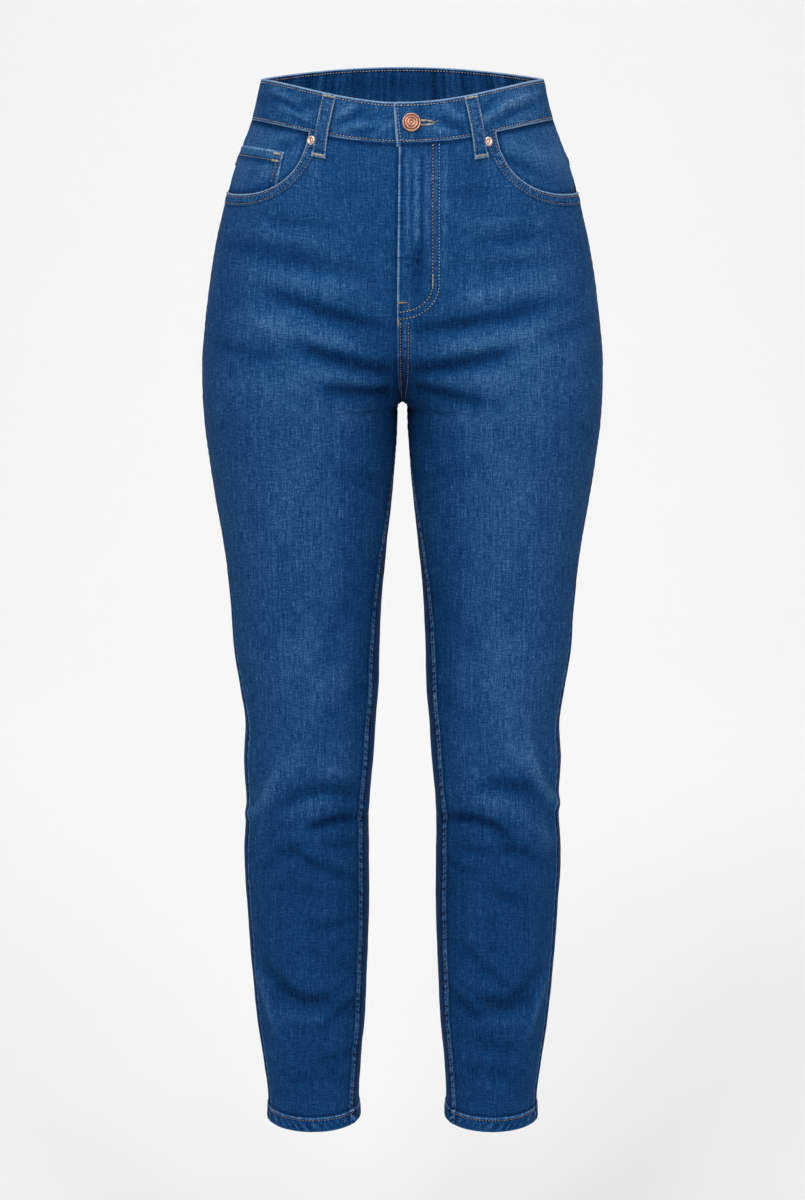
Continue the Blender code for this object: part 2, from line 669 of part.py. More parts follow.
def button(name):
    """A shank button: a dished cap on a post that passes through the eye of the buttonhole."""
    spot, normal = front_spot(BUTTON_X, BUTTON_DROP)
    proud = (BAND_THICK - CLOTH) / 2
    back = proud + SEAM_GAP  # the cap's underside, above the smooth form
    foot = -(BAND_THICK + SEAM_GAP) + proud + 0.3 * MM
    r = BUTTON_RADIUS
    profile = [
        (0, back + 2.6 * MM), (r * 0.35, back + 2.5 * MM), (r * 0.5, back + 2.1 * MM),
        (r * 0.72, back + 2.1 * MM), (r * 0.84, back + 2.6 * MM), (r * 0.94, back + 2.3 * MM),
        (r, back + 1.4 * MM), (r * 0.97, back + 0.5 * MM), (r * 0.86, back),
        (SHANK_RADIUS, back), (SHANK_RADIUS, foot), (0, foot),
    ]  # fmt: skip
    return turned(name, profile, 28, spot, normal, COPPER, 0.35)


def rivet(name, side):
    """A rivet cap with a raised point in a dished ring, at the corner of the pocket."""
    spot, normal = front_spot(side * RIVET_X, RIVET_DROP)
    r, base = RIVET_RADIUS, SEAM_GAP
    profile = [
        (0, base + 1.2 * MM), (r * 0.22, base + 0.9 * MM), (r * 0.34, base + 0.45 * MM),
        (r * 0.55, base + 0.9 * MM), (r * 0.8, base + 1.1 * MM), (r, base + 0.5 * MM),
        (r * 0.94, base), (0, base),
    ]  # fmt: skip
    return turned(name, profile, 18, spot, normal, COPPER, 0.3)


def main():
    clear_scene()
    for word, side in (("left", 1), ("right", -1)):
        front_panel("front_" + word, side)
        panel("back_" + word, side, True, yoke_seam)
        yoke("yoke_" + word, side)
        pocket_facing("pocket_facing_" + word, side)
        back_pocket("back_pocket_" + word, side)
        rivet("rivet_" + word, side)
    coin_pocket("coin_pocket")
    waistband("waistband")
    for loop in LOOPS:
        belt_loop(loop)
    centre_back_loop("belt_loop_back_centre")
    button("button")


main()
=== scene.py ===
import math

import bmesh
import bpy
import numpy as np
from mathutils import Matrix, Vector
from mathutils.bvhtree import BVHTree


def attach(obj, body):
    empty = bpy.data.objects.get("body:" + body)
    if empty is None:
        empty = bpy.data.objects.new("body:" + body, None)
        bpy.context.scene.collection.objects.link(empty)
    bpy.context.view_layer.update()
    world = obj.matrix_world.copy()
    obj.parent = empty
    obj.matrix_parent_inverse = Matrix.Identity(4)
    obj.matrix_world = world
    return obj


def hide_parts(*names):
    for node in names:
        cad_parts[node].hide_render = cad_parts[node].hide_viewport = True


# High-waisted skinny jeans, hollow as worn. Metres, front towards -Y, wearer's left +X.
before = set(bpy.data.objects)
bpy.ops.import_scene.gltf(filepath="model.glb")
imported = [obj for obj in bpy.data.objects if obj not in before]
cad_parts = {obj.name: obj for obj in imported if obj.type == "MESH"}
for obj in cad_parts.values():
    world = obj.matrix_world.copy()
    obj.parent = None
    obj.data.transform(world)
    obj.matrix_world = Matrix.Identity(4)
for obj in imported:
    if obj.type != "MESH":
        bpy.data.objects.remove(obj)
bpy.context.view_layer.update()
mm = 0.001

# the hollow form, the same as the solids'
form = {
    "outseam": 980 * mm, "rise": 286 * mm, "bandHeight": 36 * mm,
    "cloth": 1.2 * mm, "hemHeight": 14 * mm, "seamGap": 0.3 * mm, "sideLift": 3 * mm,
    "frontDip": 18 * mm, "dipPower": 3.3, "backRise": 9 * mm, "liftEnd": 250 * mm,
    "hipSplit": 150 * mm, "splitPower": 1.6, "crotchStart": 236 * mm, "saddle": 3 * mm,
    "foldTurn": 22 * mm, "foldClear": 14 * mm, "arcSteps": 64,
}

# drop, outer, inner, front, back, squareFront, squareBack, squareInner, sideTurn, inseamTurn
sections = {
    "columns": ["drop", "outer", "inner", "front", "back", "squareFront", "squareBack",
                "squareInner", "sideTurn", "inseamTurn"],
    "rows": [
        (0, 126, 0, -93, 95, 2.0, 2.0, 2.2, 0, 0), (35, 134.5, 0, -98, 99, 2.05, 2.05, 2.2, 0, 0),
        (70, 148, 0, -103, 107, 2.1, 2.1, 2.2, 0, 0), (105, 159, 0, -107, 118, 2.2, 2.15, 2.2, 0, 0),
        (150, 170, 0, -109, 131, 2.3, 2.15, 2.3, 1, 0), (200, 178, 0, -109, 139, 2.35, 2.15, 2.35, 2, 0),
        (250, 183, 5, -106, 134, 2.25, 2.15, 2.5, 4, 0), (290, 182.5, 5, -102, 117, 2.15, 2.1, 2.6, 6, 0),
        (330, 178.5, 6.2, -97, 102, 2.1, 2.05, 2.5, 8, 6), (375, 172, 9.6, -90, 90, 2.05, 2, 2.3, 11, 13),
        (425, 164, 15, -84, 80, 2.05, 2, 2.2, 14, 18), (475, 159.3, 19.5, -79, 73, 2.05, 2, 2.1, 17, 21),
        (520, 156.5, 21.4, -75, 68, 2.05, 2, 2.05, 19, 23),
        (560, 150.5, 22.6, -71, 64, 2.05, 2, 2.05, 21, 24),
        (585, 147, 24.8, -69, 61, 2.05, 2, 2.05, 22, 25), (620, 148.5, 27, -67, 60, 2.1, 2, 2.05, 22, 25),
        (670, 147, 31.2, -61, 62, 2.1, 2, 2.05, 22, 25), (715, 149.8, 31.6, -56, 66, 2.05, 2, 2.05, 22, 25),
        (770, 147.8, 31.6, -51, 68, 2.05, 2, 2.05, 22, 25), (830, 144, 33.8, -48, 65, 2.05, 2, 2.05, 22, 25),
        (880, 139.5, 36, -46, 61, 2.05, 2, 2.05, 22, 25), (930, 132.7, 40.4, -45, 55, 2.05, 2, 2.05, 22, 26),
        (958, 129.3, 41.8, -44, 51, 2.05, 2, 2.05, 21, 27), (980, 130, 40.8, -44, 51, 2.05, 2, 2.05, 20, 27),
    ],
}
sectionTable = np.array(sections["rows"], float)

# Creases of each face: x, drop, length, width, slant, bend, height. Heights under nothing are troughs.
creases = {
    "large": {
        "front": [
            (-104, 148, 48, 8, -12, -0.0020, -1.4), (-98, 170, 42, 9, -8, 0.0005, 1.6),
            (-64, 197, 52, 6.5, -16, 0.0006, -3.0), (-84, 218, 52, 9, -12, 0.0005, 2.0),
            (-50, 239, 46, 7, -17, 0.0010, -3.8), (-54, 254, 36, 7, -12, 0.0, 1.6),
            (-36, 267, 36, 6, -5, 0.0, -3.2), (99, 177, 46, 8, 6, 0.0005, 1.6),
            (64, 204, 62, 6.5, 9, 0.0004, -2.8), (78, 223, 52, 9, 9, 0.0005, 2.0),
            (50, 241, 48, 7, 12, 0.0008, -3.8), (56, 256, 36, 7, 2, 0.0, 1.5),
            (42, 270, 36, 6, -12, 0.0, -3.0), (-66, 671, 26, 5.5, 8, -0.0100, -3.2),
            (-86, 655, 24, 9, 12, -0.0060, 1.5), (-80, 640, 38, 8, 8, -0.0100, -2.2),
            (-127, 650, 40, 4.2, 62, 0.0040, 3.0), (72, 670, 32, 5.5, -12, -0.0100, -3.2),
            (84, 652, 28, 9, -6, -0.0060, 1.5), (98, 634, 36, 8, -8, -0.0100, -2.2),
            (127, 634, 50, 4.2, -66, 0.0030, 3.2), (-90, 847, 32, 8, -8, 0.0080, -1.9),
            (94, 852, 30, 8, 0, 0.0080, -1.9),
        ],
        "back": [
            (-84, 300, 58, 9, 6, 0.0020, -3.4), (84, 303, 58, 9, -6, 0.0020, -3.2),
            (-92, 322, 48, 10, 9, 0.0015, 1.8), (90, 326, 48, 10, -9, 0.0015, 1.8),
            (-88, 640, 40, 9, 7, 0.0030, -3.2), (88, 646, 40, 9, -7, 0.0030, -3.4),
            (-92, 672, 38, 9, -8, -0.0020, -2.8), (90, 676, 38, 9, 8, -0.0020, -2.6),
            (-86, 704, 34, 9, 10, 0.0020, -2.0), (86, 700, 34, 9, -10, 0.0020, -2.2),
        ],
    },
    "small": {
        "front": [
            # across the lap and hips
            (-93, 119, 34, 4, -5, 0.0, -0.9), (-93, 134, 30, 5, -6, 0.0, 1.0),
            (-126, 128, 26, 6, 5, 0.0, 0.6), (-122, 204, 34, 8, 5, 0.0, 1.0),
            (-136, 234, 34, 5, -6, 0.0020, -1.0), (-142, 220, 26, 6, 4, 0.0, 0.7),
            (-118, 260, 40, 10, -4, 0.0, 0.7), (-60, 156, 30, 6, -10, 0.0, -0.6),
            (-44, 178, 30, 7, -20, 0.0, 0.6), (-30, 222, 26, 7, -26, 0.0, -0.8),
            (60, 93, 24, 5, 2, 0.0, -0.8), (80, 119, 26, 4, 3, 0.0, 1.1),
            (94, 133, 28, 4.5, 4, 0.0, -1.0), (112, 146, 34, 5, 3, 0.0, 0.8),
            (89, 156, 24, 5, 4, 0.0, -0.8), (123, 164, 28, 5, 4, 0.0, 0.8),
            (142, 216, 30, 5, 12, 0.0020, -1.0), (132, 236, 36, 7, 6, 0.0, 0.7),
            (58, 186, 30, 6, 12, 0.0, 0.7), (124, 190, 30, 5, -4, 0.0, -0.6),
            (-96, 50, 13, 3, 30, 0.0, -0.8), (-110, 46, 16, 3, 14, 0.0, 0.6),
            (-122, 88, 14, 4, 30, 0.0, -0.8), (-138, 74, 12, 5, 60, 0.0, 0.5),
            (92, 62, 14, 3, -34, 0.0, -0.8), (106, 56, 20, 4, -20, 0.0, 0.6),
            (112, 74, 22, 4, -26, 0.0, -0.8), (128, 64, 18, 5, -14, 0.0, 0.6),
            (134, 88, 16, 4, -10, 0.0, -0.5), (-34, 46, 12, 3, 40, 0.0, 0.6),
            (-42, 52, 12, 3, 40, 0.0, -0.5), (40, 48, 12, 3, -38, 0.0, 0.5),
            (-80, 70, 13, 3, -62, 0.0, 0.8), (84, 68, 13, 3, 58, 0.0, 0.8),
            (-62, 66, 18, 4, -24, 0.0, -0.6), (64, 66, 16, 4, 18, 0.0, -0.6),
            (-42, 92, 26, 7, 14, 0.0, -0.5), (46, 112, 14, 5, -30, 0.0, 0.6),
            (-40, 345, 26, 8, -24, 0.0, -0.8), (42, 340, 26, 8, 22, 0.0, -0.8),
            (-66, 288, 34, 7, -6, 0.0, 0.8), (70, 292, 34, 7, 2, 0.0, 0.8),
            # thighs
            (-52, 470, 34, 8, 56, 0.0, -0.7), (46, 480, 34, 8, -58, 0.0, -0.7),
            (-100, 520, 40, 11, 70, 0.0, 0.7), (100, 530, 40, 11, -72, 0.0, 0.7),
            (-56, 560, 26, 8, 40, 0.0, -0.6), (54, 566, 26, 8, -42, 0.0, -0.6),
            (-72, 545, 26, 10, 66, 0.0, 0.8), (94, 560, 34, 9, -70, 0.0, 0.8),
            # knees
            (-92, 684, 12, 5, 24, 0.0, 1.8), (-75, 716, 34, 5, -30, 0.0, -1.5),
            (-62, 774, 24, 5, 4, 0.0, -1.2), (-112, 704, 26, 6, 42, 0.0, -1.4),
            (-106, 620, 26, 6, 54, 0.0, 1.4), (-60, 622, 22, 7, -18, 0.0, 1.0),
            (-88, 740, 24, 5, -18, 0.0, -1.0), (-60, 696, 20, 5, -12, 0.0, -1.2),
            (124, 682, 26, 7, -46, 0.0, 1.8), (86, 700, 18, 5, 0, 0.0, -1.2),
            (112, 702, 26, 5, -32, 0.0, -1.4), (60, 700, 18, 5, 10, 0.0, -1.0),
            (108, 606, 26, 6, -58, 0.0, 1.4), (96, 744, 24, 6, -14, 0.0, -1.0),
            (56, 720, 20, 5, -8, 0.0, -0.9), (60, 640, 24, 7, 10, 0.0, 1.0),
            # calves and ankles
            (80, 818, 36, 6, -40, 0.0, -1.4), (64, 860, 24, 6, -42, 0.0, -2.0),
            (126, 862, 30, 3.5, 72, 0.0, 2.7), (90, 870, 24, 6, 4, 0.0, 1.8),
            (112, 838, 20, 6, 40, 0.0, -1.2), (84, 892, 26, 7, -8, 0.0, -1.0),
            (-127, 857, 32, 3.5, -72, 0.0, 2.7), (-89, 866, 26, 6, -4, 0.0, 1.8),
            (-63, 866, 22, 6, 36, 0.0, -1.7), (-63, 907, 24, 6, 4, 0.0, -1.2),
            (-112, 832, 26, 6, -44, 0.0, -1.4), (-84, 926, 26, 8, 10, 0.0, -0.9),
            (84, 920, 26, 8, -12, 0.0, -0.9), (-66, 812, 26, 7, -30, 0.0, -0.9),
        ],
        "back": [
            # seat, thighs and knees behind
            (-70, 262, 40, 8, 22, 0.0010, -1.0), (72, 258, 40, 8, -22, 0.0010, -1.0),
            (-60, 342, 30, 7, 26, 0.0, -1.2), (58, 346, 30, 7, -26, 0.0, -1.2),
            (-100, 368, 36, 9, 16, 0.0, -0.9), (104, 362, 36, 9, -14, 0.0, -0.9),
            (-96, 460, 40, 10, 50, 0.0, -0.6), (92, 470, 40, 10, -50, 0.0, -0.6),
            (-100, 604, 34, 7, 10, 0.0, -1.2), (96, 610, 34, 7, -12, 0.0, -1.1),
            (-80, 656, 30, 5, 0, 0.0030, 1.2), (84, 660, 30, 5, 2, 0.0030, 1.2),
            (-96, 690, 30, 5, 14, 0.0, 1.0), (92, 688, 30, 5, -14, 0.0, 1.0),
            (-88, 736, 32, 7, -6, 0.0, -1.2), (90, 732, 32, 7, 8, 0.0, -1.2),
            (-100, 780, 28, 8, -20, 0.0, -0.7), (98, 786, 28, 8, 20, 0.0, -0.7),
            (-84, 880, 32, 7, 8, 0.0030, -1.3), (86, 872, 32, 7, -8, 0.0030, -1.3),
            (-88, 912, 28, 7, -8, 0.0, -1.0), (84, 906, 28, 7, 10, 0.0, -1.0),
        ],
    },
}

# Lighter and darker places of each face: x, drop, half width, half height, amount. The lighter places down
# the thighs and on the seat are worn fades; the darker places in the crotch, between the thighs and down the
# lower legs are painted shade.
fadesAndShade = {
    "front": [
        (-98, 350, 56, 90, 0.08), (98, 350, 56, 90, 0.10),
        (-110, 250, 50, 40, 0.03), (110, 250, 50, 40, 0.08),
        (-150, 212, 34, 40, -0.05), (150, 200, 34, 50, 0.03),
        (-90, 520, 44, 90, 0.04), (94, 520, 44, 90, 0.07),
        (-84, 620, 34, 30, 0.03), (92, 615, 34, 30, 0.04),
        # painted shade in the crotch and between the thighs
        (0, 264, 22, 26, -0.18), (0, 300, 26, 50, -0.12),
        (-36, 450, 18, 200, -0.07), (36, 450, 18, 200, -0.07),
        # painted shade on the knees and the lower legs
        (-88, 740, 70, 80, -0.12), (88, 740, 70, 80, -0.12),
        (-86, 910, 70, 110, -0.13), (86, 910, 70, 110, -0.14),
        (-22, 120, 20, 60, -0.05), (44, 150, 10, 60, -0.05),
    ],
    "back": [
        (-90, 230, 66, 90, 0.12), (90, 230, 66, 90, 0.12),
        (-92, 450, 50, 130, 0.05), (92, 450, 50, 130, 0.05),
        # painted shade between the legs
        (0, 300, 30, 60, -0.14),
    ],
}


def everyRow(table):
    return [(face, *row) for face, rows in table.items() for row in rows]


creaseRows = everyRow(creases["large"]) + everyRow(creases["small"])
fadeAndShadeRows = everyRow(fadesAndShade)


def smooth(value):
    value = np.clip(value, 0.0, 1.0)
    return value * value * (3 - 2 * value)


def bell(value, width):
    return np.exp(-((value / width) ** 2))


def roundedEnd(length, radius):
    return np.sqrt(np.clip(1 - (1 - np.clip(length / radius, 0, 1)) ** 2, 0, 1))


def columnAt(name, drop):
    drops = sectionTable[:, 0]
    values = sectionTable[:, sections["columns"].index(name)]
    slopes = np.gradient(values, drops)
    place = np.clip(np.asarray(drop) / mm, drops[0], drops[-1])
    i = np.clip(np.searchsorted(drops, place, side="right") - 1, 0, len(drops) - 2)
    span = drops[i + 1] - drops[i]
    f = (place - drops[i]) / span
    start = (1 + 2 * f) * (1 - f) ** 2 * values[i] + f * (1 - f) ** 2 * span * slopes[i]
    end = f * f * (3 - 2 * f) * values[i + 1] - f * f * (1 - f) * span * slopes[i + 1]
    return start + end


def ringNumbers(drop):
    edge = form["seamGap"] / 2
    outer = columnAt("outer", drop) * mm
    split = form["hipSplit"]
    parting = np.clip((drop - split) / (form["rise"] - split), 0, 1) ** form["splitPower"]
    above = (2 * edge - outer * (1 - parting)) / (1 + parting)
    opening = np.clip((drop - form["rise"]) / form["saddle"], 0, 1)
    below = edge + (columnAt("inner", drop) * mm - edge) * opening
    inner = np.where(drop < form["rise"], above, below)
    front, back = columnAt("front", drop) * mm, columnAt("back", drop) * mm
    return (outer + inner) / 2, (outer - inner) / 2, (front + back) / 2, (back - front) / 2


def ringXy(drop, angle):
    centreX, halfX, centreY, halfY = ringNumbers(drop)
    square = np.where(np.sin(angle) < 0, columnAt("squareFront", drop), columnAt("squareBack", drop))
    square = np.where(np.cos(angle) < 0, columnAt("squareInner", drop), square)
    across = np.sign(np.cos(angle)) * np.abs(np.cos(angle)) ** (2 / square)
    along = np.sign(np.sin(angle)) * np.abs(np.sin(angle)) ** (2 / square)
    return centreX + halfX * across, centreY + halfY * along


def seamAngles(drop):
    centreX, halfX, _, _ = ringNumbers(drop)
    reach = np.clip((centreX - form["seamGap"] / 2) / halfX, 0, 1)
    crossing = np.arccos(reach ** (columnAt("squareInner", drop) / 2))
    turn = np.radians(columnAt("inseamTurn", drop))
    legs = drop >= form["rise"]
    front = np.where(legs, -np.pi + turn, -np.pi + crossing)
    back = np.where(legs, np.pi + turn, np.pi - crossing)
    return front, -np.radians(columnAt("sideTurn", drop)), back


def withHeight(x, y, drop):
    _, _, centreY, halfY = ringNumbers(drop)
    share = np.clip((y - centreY) / halfY, -1, 1)
    dip = -form["frontDip"] * np.abs(share) ** form["dipPower"]
    lift = form["sideLift"] + np.where(share < 0, dip, form["backRise"] * share**2)
    return np.stack([x, y, lift * (1 - smooth(drop / form["liftEnd"])) - drop], axis=-1)


def placeOnRing(around, drop):
    front, side, back = seamAngles(drop)
    isFront = around <= 1
    first, last = np.where(isFront, front, side), np.where(isFront, side, back)
    share = np.where(isFront, around, around - 1)
    steps = form["arcSteps"]
    angles = first[..., None] + (last - first)[..., None] * np.linspace(0, 1, steps)
    x, y = ringXy(drop[..., None], angles)
    lengths = np.hypot(np.diff(x, axis=-1), np.diff(y, axis=-1))
    total = np.concatenate([np.zeros(drop.shape + (1,)), np.cumsum(lengths, axis=-1)], axis=-1)
    wanted = share * total[..., -1]
    i = np.clip((total <= wanted[..., None]).sum(axis=-1) - 1, 0, steps - 2)[..., None]
    before = np.take_along_axis(total, i, -1)
    f = (wanted[..., None] - before) / (np.take_along_axis(total, i + 1, -1) - before)
    found = [
        (np.take_along_axis(c, i, -1) * (1 - f) + np.take_along_axis(c, i + 1, -1) * f)[..., 0]
        for c in (x, y, angles)
    ]
    return withHeight(found[0], found[1], drop), found[2]


def formNormals(angle, drop):
    ends = []
    for turn, step in ((0.01, 0), (-0.01, 0), (0, 0.4 * mm), (0, -0.4 * mm)):
        level = np.clip(drop + step, 0, form["outseam"])
        ends.append(withHeight(*ringXy(level, angle + turn), level))
    normal = np.cross(ends[2] - ends[3], ends[0] - ends[1])
    return normal / np.linalg.norm(normal, axis=-1, keepdims=True)


def creaseHeight(points, rows):
    x, y, z = points[..., 0], points[..., 1], points[..., 2]
    middle = ringNumbers(np.clip(-z, 0, form["outseam"]))[2]
    frontness = smooth(0.5 + (middle - y) / form["foldTurn"] / 2)
    lift = np.zeros(x.shape)
    for face, atX, atDrop, length, width, slant, bend, height in rows:
        dx, dz = x / mm - atX, z / mm + atDrop
        c, s = math.cos(math.radians(slant)), math.sin(math.radians(slant))
        along = dx * c + dz * s
        across = dz * c - dx * s - bend * along**2
        shape = np.exp(-((along / length) ** 4) - (across / width) ** 2)
        lift += height * mm * shape * (frontness if face == "front" else 1 - frontness)
    return lift * smooth(np.abs(x) / form["foldClear"])


def fadeAndShadeAt(points):
    x, y, z = points[..., 0] / mm, points[..., 1], points[..., 2] / mm
    middle = ringNumbers(np.clip(-points[..., 2], 0, form["outseam"]))[2]
    frontness = smooth(0.5 + (middle - y) / 0.05)
    total = np.zeros(x.shape)
    for face, atX, atDrop, wide, high, amount in fadeAndShadeRows:
        shape = np.exp(-(((x - atX) / wide) ** 2) - ((z + atDrop) / high) ** 2)
        total += amount * shape * (frontness if face == "front" else 1 - frontness)
    return total


def creaseShade(height, drop):
    # Ridges wear pale, and troughs are painted darker as painted shade of the creases.
    high = height / mm
    low = smooth((drop - 560 * mm) / (80 * mm))
    return np.clip(high, -4, 0) * 0.115 + np.clip(high, 0, 2.4) * (0.085 - 0.012 * low)


def ripple(points):
    # slow unevenness of worn cloth, a few tenths of a millimetre
    x, y, z = points[..., 0], points[..., 1], points[..., 2]
    total = np.sin(x * 120 + z * 45 + 1.1) * np.sin(z * 62 - y * 70 + 0.4)
    total += 0.7 * np.sin(x * 70 - z * 130 + 2.2) * np.sin(y * 90 + z * 40)
    total += 0.5 * np.sin(x * 210 + z * 110 + 0.6) * np.sin(z * 190 + y * 130 + 1.9)
    return total * 0.16 * mm


def pucker(along, pitch, seed):
    # uneven gathers along a row of stitches, from -1 to 1
    t = along / pitch * 2 * math.pi
    return np.sin(t + 1.5 * np.sin(t / 4.7 + seed)) * (0.65 + 0.35 * np.sin(t / 7.3 + 2 * seed))


tableLevels = np.linspace(0, form["outseam"], 393)
halfTable, grainTable = {}, {}
grainX = 88 * mm  # the straight grain runs down the middle of each leg
for isBack in (False, True):
    shares = np.linspace(1 + 1e-6, 2, 60) if isBack else np.linspace(1, 0, 60)
    ringPoints = placeOnRing(*np.broadcast_arrays(shares[:, None], tableLevels[None, :]))[0]
    halfTable[isBack] = np.hypot(*np.moveaxis(np.diff(ringPoints[..., :2], axis=0), -1, 0)).sum(axis=0)
    past = ringPoints[..., 0] < grainX
    crossing = len(shares) - 1 - np.argmax((~past)[::-1], axis=0)
    grainTable[isBack] = crossing / (len(shares) - 1) * halfTable[isBack]
    grainTable[isBack] = np.convolve(np.pad(grainTable[isBack], 8, mode="edge"), np.ones(17) / 17, "valid")


def halfLength(drop, back):
    return np.interp(drop, tableLevels, halfTable[back])


def fromGrain(fromSide, drop, back):
    return fromSide - np.interp(drop, tableLevels, grainTable[back])


def seamDrop(drop, back):
    levels = np.linspace(form["crotchStart"], form["rise"], 200)
    seam = placeOnRing(np.full(200, 2.0 if back else 0.0), levels)[0]
    run = np.concatenate([[0], np.cumsum(np.linalg.norm(np.diff(seam, axis=0), axis=1))])
    share = (drop - form["crotchStart"]) / (form["rise"] - form["crotchStart"])
    return np.where((share > 0) & (share < 1), np.interp(share * run[-1], run, levels), drop)


def aroundAt(drop, x, back=False):
    places = np.linspace(1, 2, 240) if back else np.linspace(0, 1, 240)
    xs = placeOnRing(places, np.full(240, float(drop)))[0][:, 0]
    part = slice(np.argmax(xs), None) if back else slice(0, np.argmax(xs) + 1)
    order = np.argsort(xs[part])
    return np.interp(x, xs[part][order], places[part][order])


def clothPoints(side, around, drop, lift):
    side, around, drop, lift = np.broadcast_arrays(side, around, drop, lift)
    side, around, drop = side.astype(float), around.astype(float), drop.astype(float)
    mirror = np.stack([side, np.ones_like(side), np.ones_like(side)], axis=-1)
    points, angle = placeOnRing(around, drop)
    points, normal = points * mirror, formNormals(angle, drop) * mirror
    height = creaseHeight(points, creaseRows) + ripple(points)
    return points + normal * (height + lift)[..., None], normal, points, height


# The scoop of the front pocket as (distance from the side seam, drop), seen in the CAD as a
# quarter curve from the front
scoop = {"top": 80 * mm, "side": 160 * mm, "level": 20 * mm, "drop": 98 * mm, "square": 2.5, "count": 56}


def scoopLine():
    found = []
    for k in range(scoop["count"] + 1):
        angle = math.pi / 2 * k / scoop["count"]
        across = math.cos(angle) ** (2 / scoop["square"]) if k < scoop["count"] else 0.0
        x = scoop["side"] - (scoop["side"] - scoop["top"]) * across
        z = -scoop["level"] - (scoop["drop"] - scoop["level"]) * math.sin(angle) ** (2 / scoop["square"])
        drop = -z
        for _ in range(5):
            around = float(aroundAt(drop, x))
            drop = min(max(drop + placeOnRing(np.array(around), np.array(drop))[0][2] - z, 0.0), 0.2)
        found.append((float((1 - around) * halfLength(drop, False)), float(drop)))
        if around >= 0.9999:
            break
    line = np.array([p for p in found if p[1] > 30 * mm])
    line[-1, 0] = 0.0
    run = np.concatenate([[0], np.cumsum(np.hypot(*np.diff(line, axis=0).T))])
    start = np.interp(form["bandHeight"] - 0.8 * mm, line[:, 1], run)
    even = np.linspace(start, run[-1], 90)
    return np.stack([np.interp(even, run, line[:, 0]), np.interp(even, run, line[:, 1])], axis=1)


mouthLine = scoopLine()
mouthRun = np.concatenate([[0], np.cumsum(np.hypot(*np.diff(mouthLine, axis=0).T))])
mouthTangent = np.gradient(mouthLine, mouthRun, axis=0)
mouthTangent /= np.hypot(*mouthTangent.T)[:, None]
mouthNormal = np.stack([mouthTangent[:, 1], -mouthTangent[:, 0]], axis=1)  # towards the panel
mouthNormal[-6:, 0] = mouthNormal[-6:, 0] * np.linspace(0.8, 0, 6)


def mouthDistance(fromSide, drop):
    # positive on the panel, negative in the pocket's mouth
    shape = fromSide.shape
    p = np.stack([fromSide.ravel(), drop.ravel()], axis=1)
    best = np.full(len(p), 1e9)
    sign = np.ones(len(p))
    top = mouthLine[0] - np.array([0, 0.06])
    line = np.vstack([top, mouthLine, mouthLine[-1] - np.array([0.08, 0])])
    for a, b in zip(line, line[1:]):
        d = b - a
        t = np.clip((p - a) @ d / (d @ d), 0, 1)
        gap = p - a - t[:, None] * d
        far = np.hypot(*gap.T)
        near = far < best - 1e-9
        best[near] = far[near]
        sign[near] = np.sign(d[1] * gap[near, 0] - d[0] * gap[near, 1])
    return (best * np.where(sign == 0, 1, sign)).reshape(shape)


print("form ready, scoop", round(mouthRun[-1] / mm), "mm long")


# the fly on the wearer's left front
fly = {
    "stitchAcross": (26.2 * mm, 31.7 * mm), "curveStart": 168 * mm, "curveEnd": (193.4 * mm, 200 * mm),
    "lapTop": 2.8 * mm, "lapBottom": 4.4 * mm, "lapEnd": 268 * mm, "height": 1.0 * mm, "edgeHeight": 1.6 * mm,
    "tailRows": (-1.7 * mm, 5.1 * mm), "lapColumnsEnd": 282 * mm, "curveMiddle": -3 * mm,
    # across, width, height, and wear with painted shade of the slack bands between the edge and the
    # stitching: ridges paler from wear, troughs painted darker as painted shade
    "bands": [(4.3, 2.0, 0.2, 0.14), (7.7, 0.9, -0.3, -0.20), (12, 3.0, 0.5, 0.20), (16.6, 1.2, -0.5, -0.24),
              (21, 1.8, 0.25, 0.14)],
    # across, width, drop, height, and tone of the worn spots and the painted shaded spots
    "spots": [(14, 6, 142, 15, -0.26), (13, 8, 168, 22, -0.12), (1.8, 1.5, 214, 14, 0.20),
              (8.6, 1.6, 214, 13, 0.14)],
}


def flyStitch(which, drop):
    # Distance from the centre at which the J-shaped row lies.
    depth = (fly["curveEnd"][which] - fly["curveStart"])
    t = np.clip((drop - fly["curveStart"]) / depth, 0, 1)
    reach = fly["stitchAcross"][which] - fly["curveMiddle"]
    return fly["curveMiddle"] + reach * np.sqrt(1 - t * t)


def lapWidth(drop):
    share = np.clip((drop - 40 * mm) / (150 * mm), 0, 1)
    wide = fly["lapTop"] + (fly["lapBottom"] - fly["lapTop"]) * share
    return 0.4 * mm + wide * (1 - smooth((drop - fly["lapEnd"]) / (10 * mm)))


# relief, wear and painted shade of the panels
seams = {
    "inseamStrip": 6.4 * mm, "inseamHeight": 0.75 * mm, "inseamPucker": 0.34 * mm, "inseamPitch": 6.6 * mm,
    "sideHeight": 0.4 * mm, "sidePucker": 0.2 * mm, "sidePitch": 9 * mm, "hemHeight": 0.8 * mm,
    "hemPucker": 0.34 * mm, "hemPitch": 8.5 * mm, "hemRow": 968.2 * mm, "seatRows": (2.2 * mm, 8.4 * mm),
}


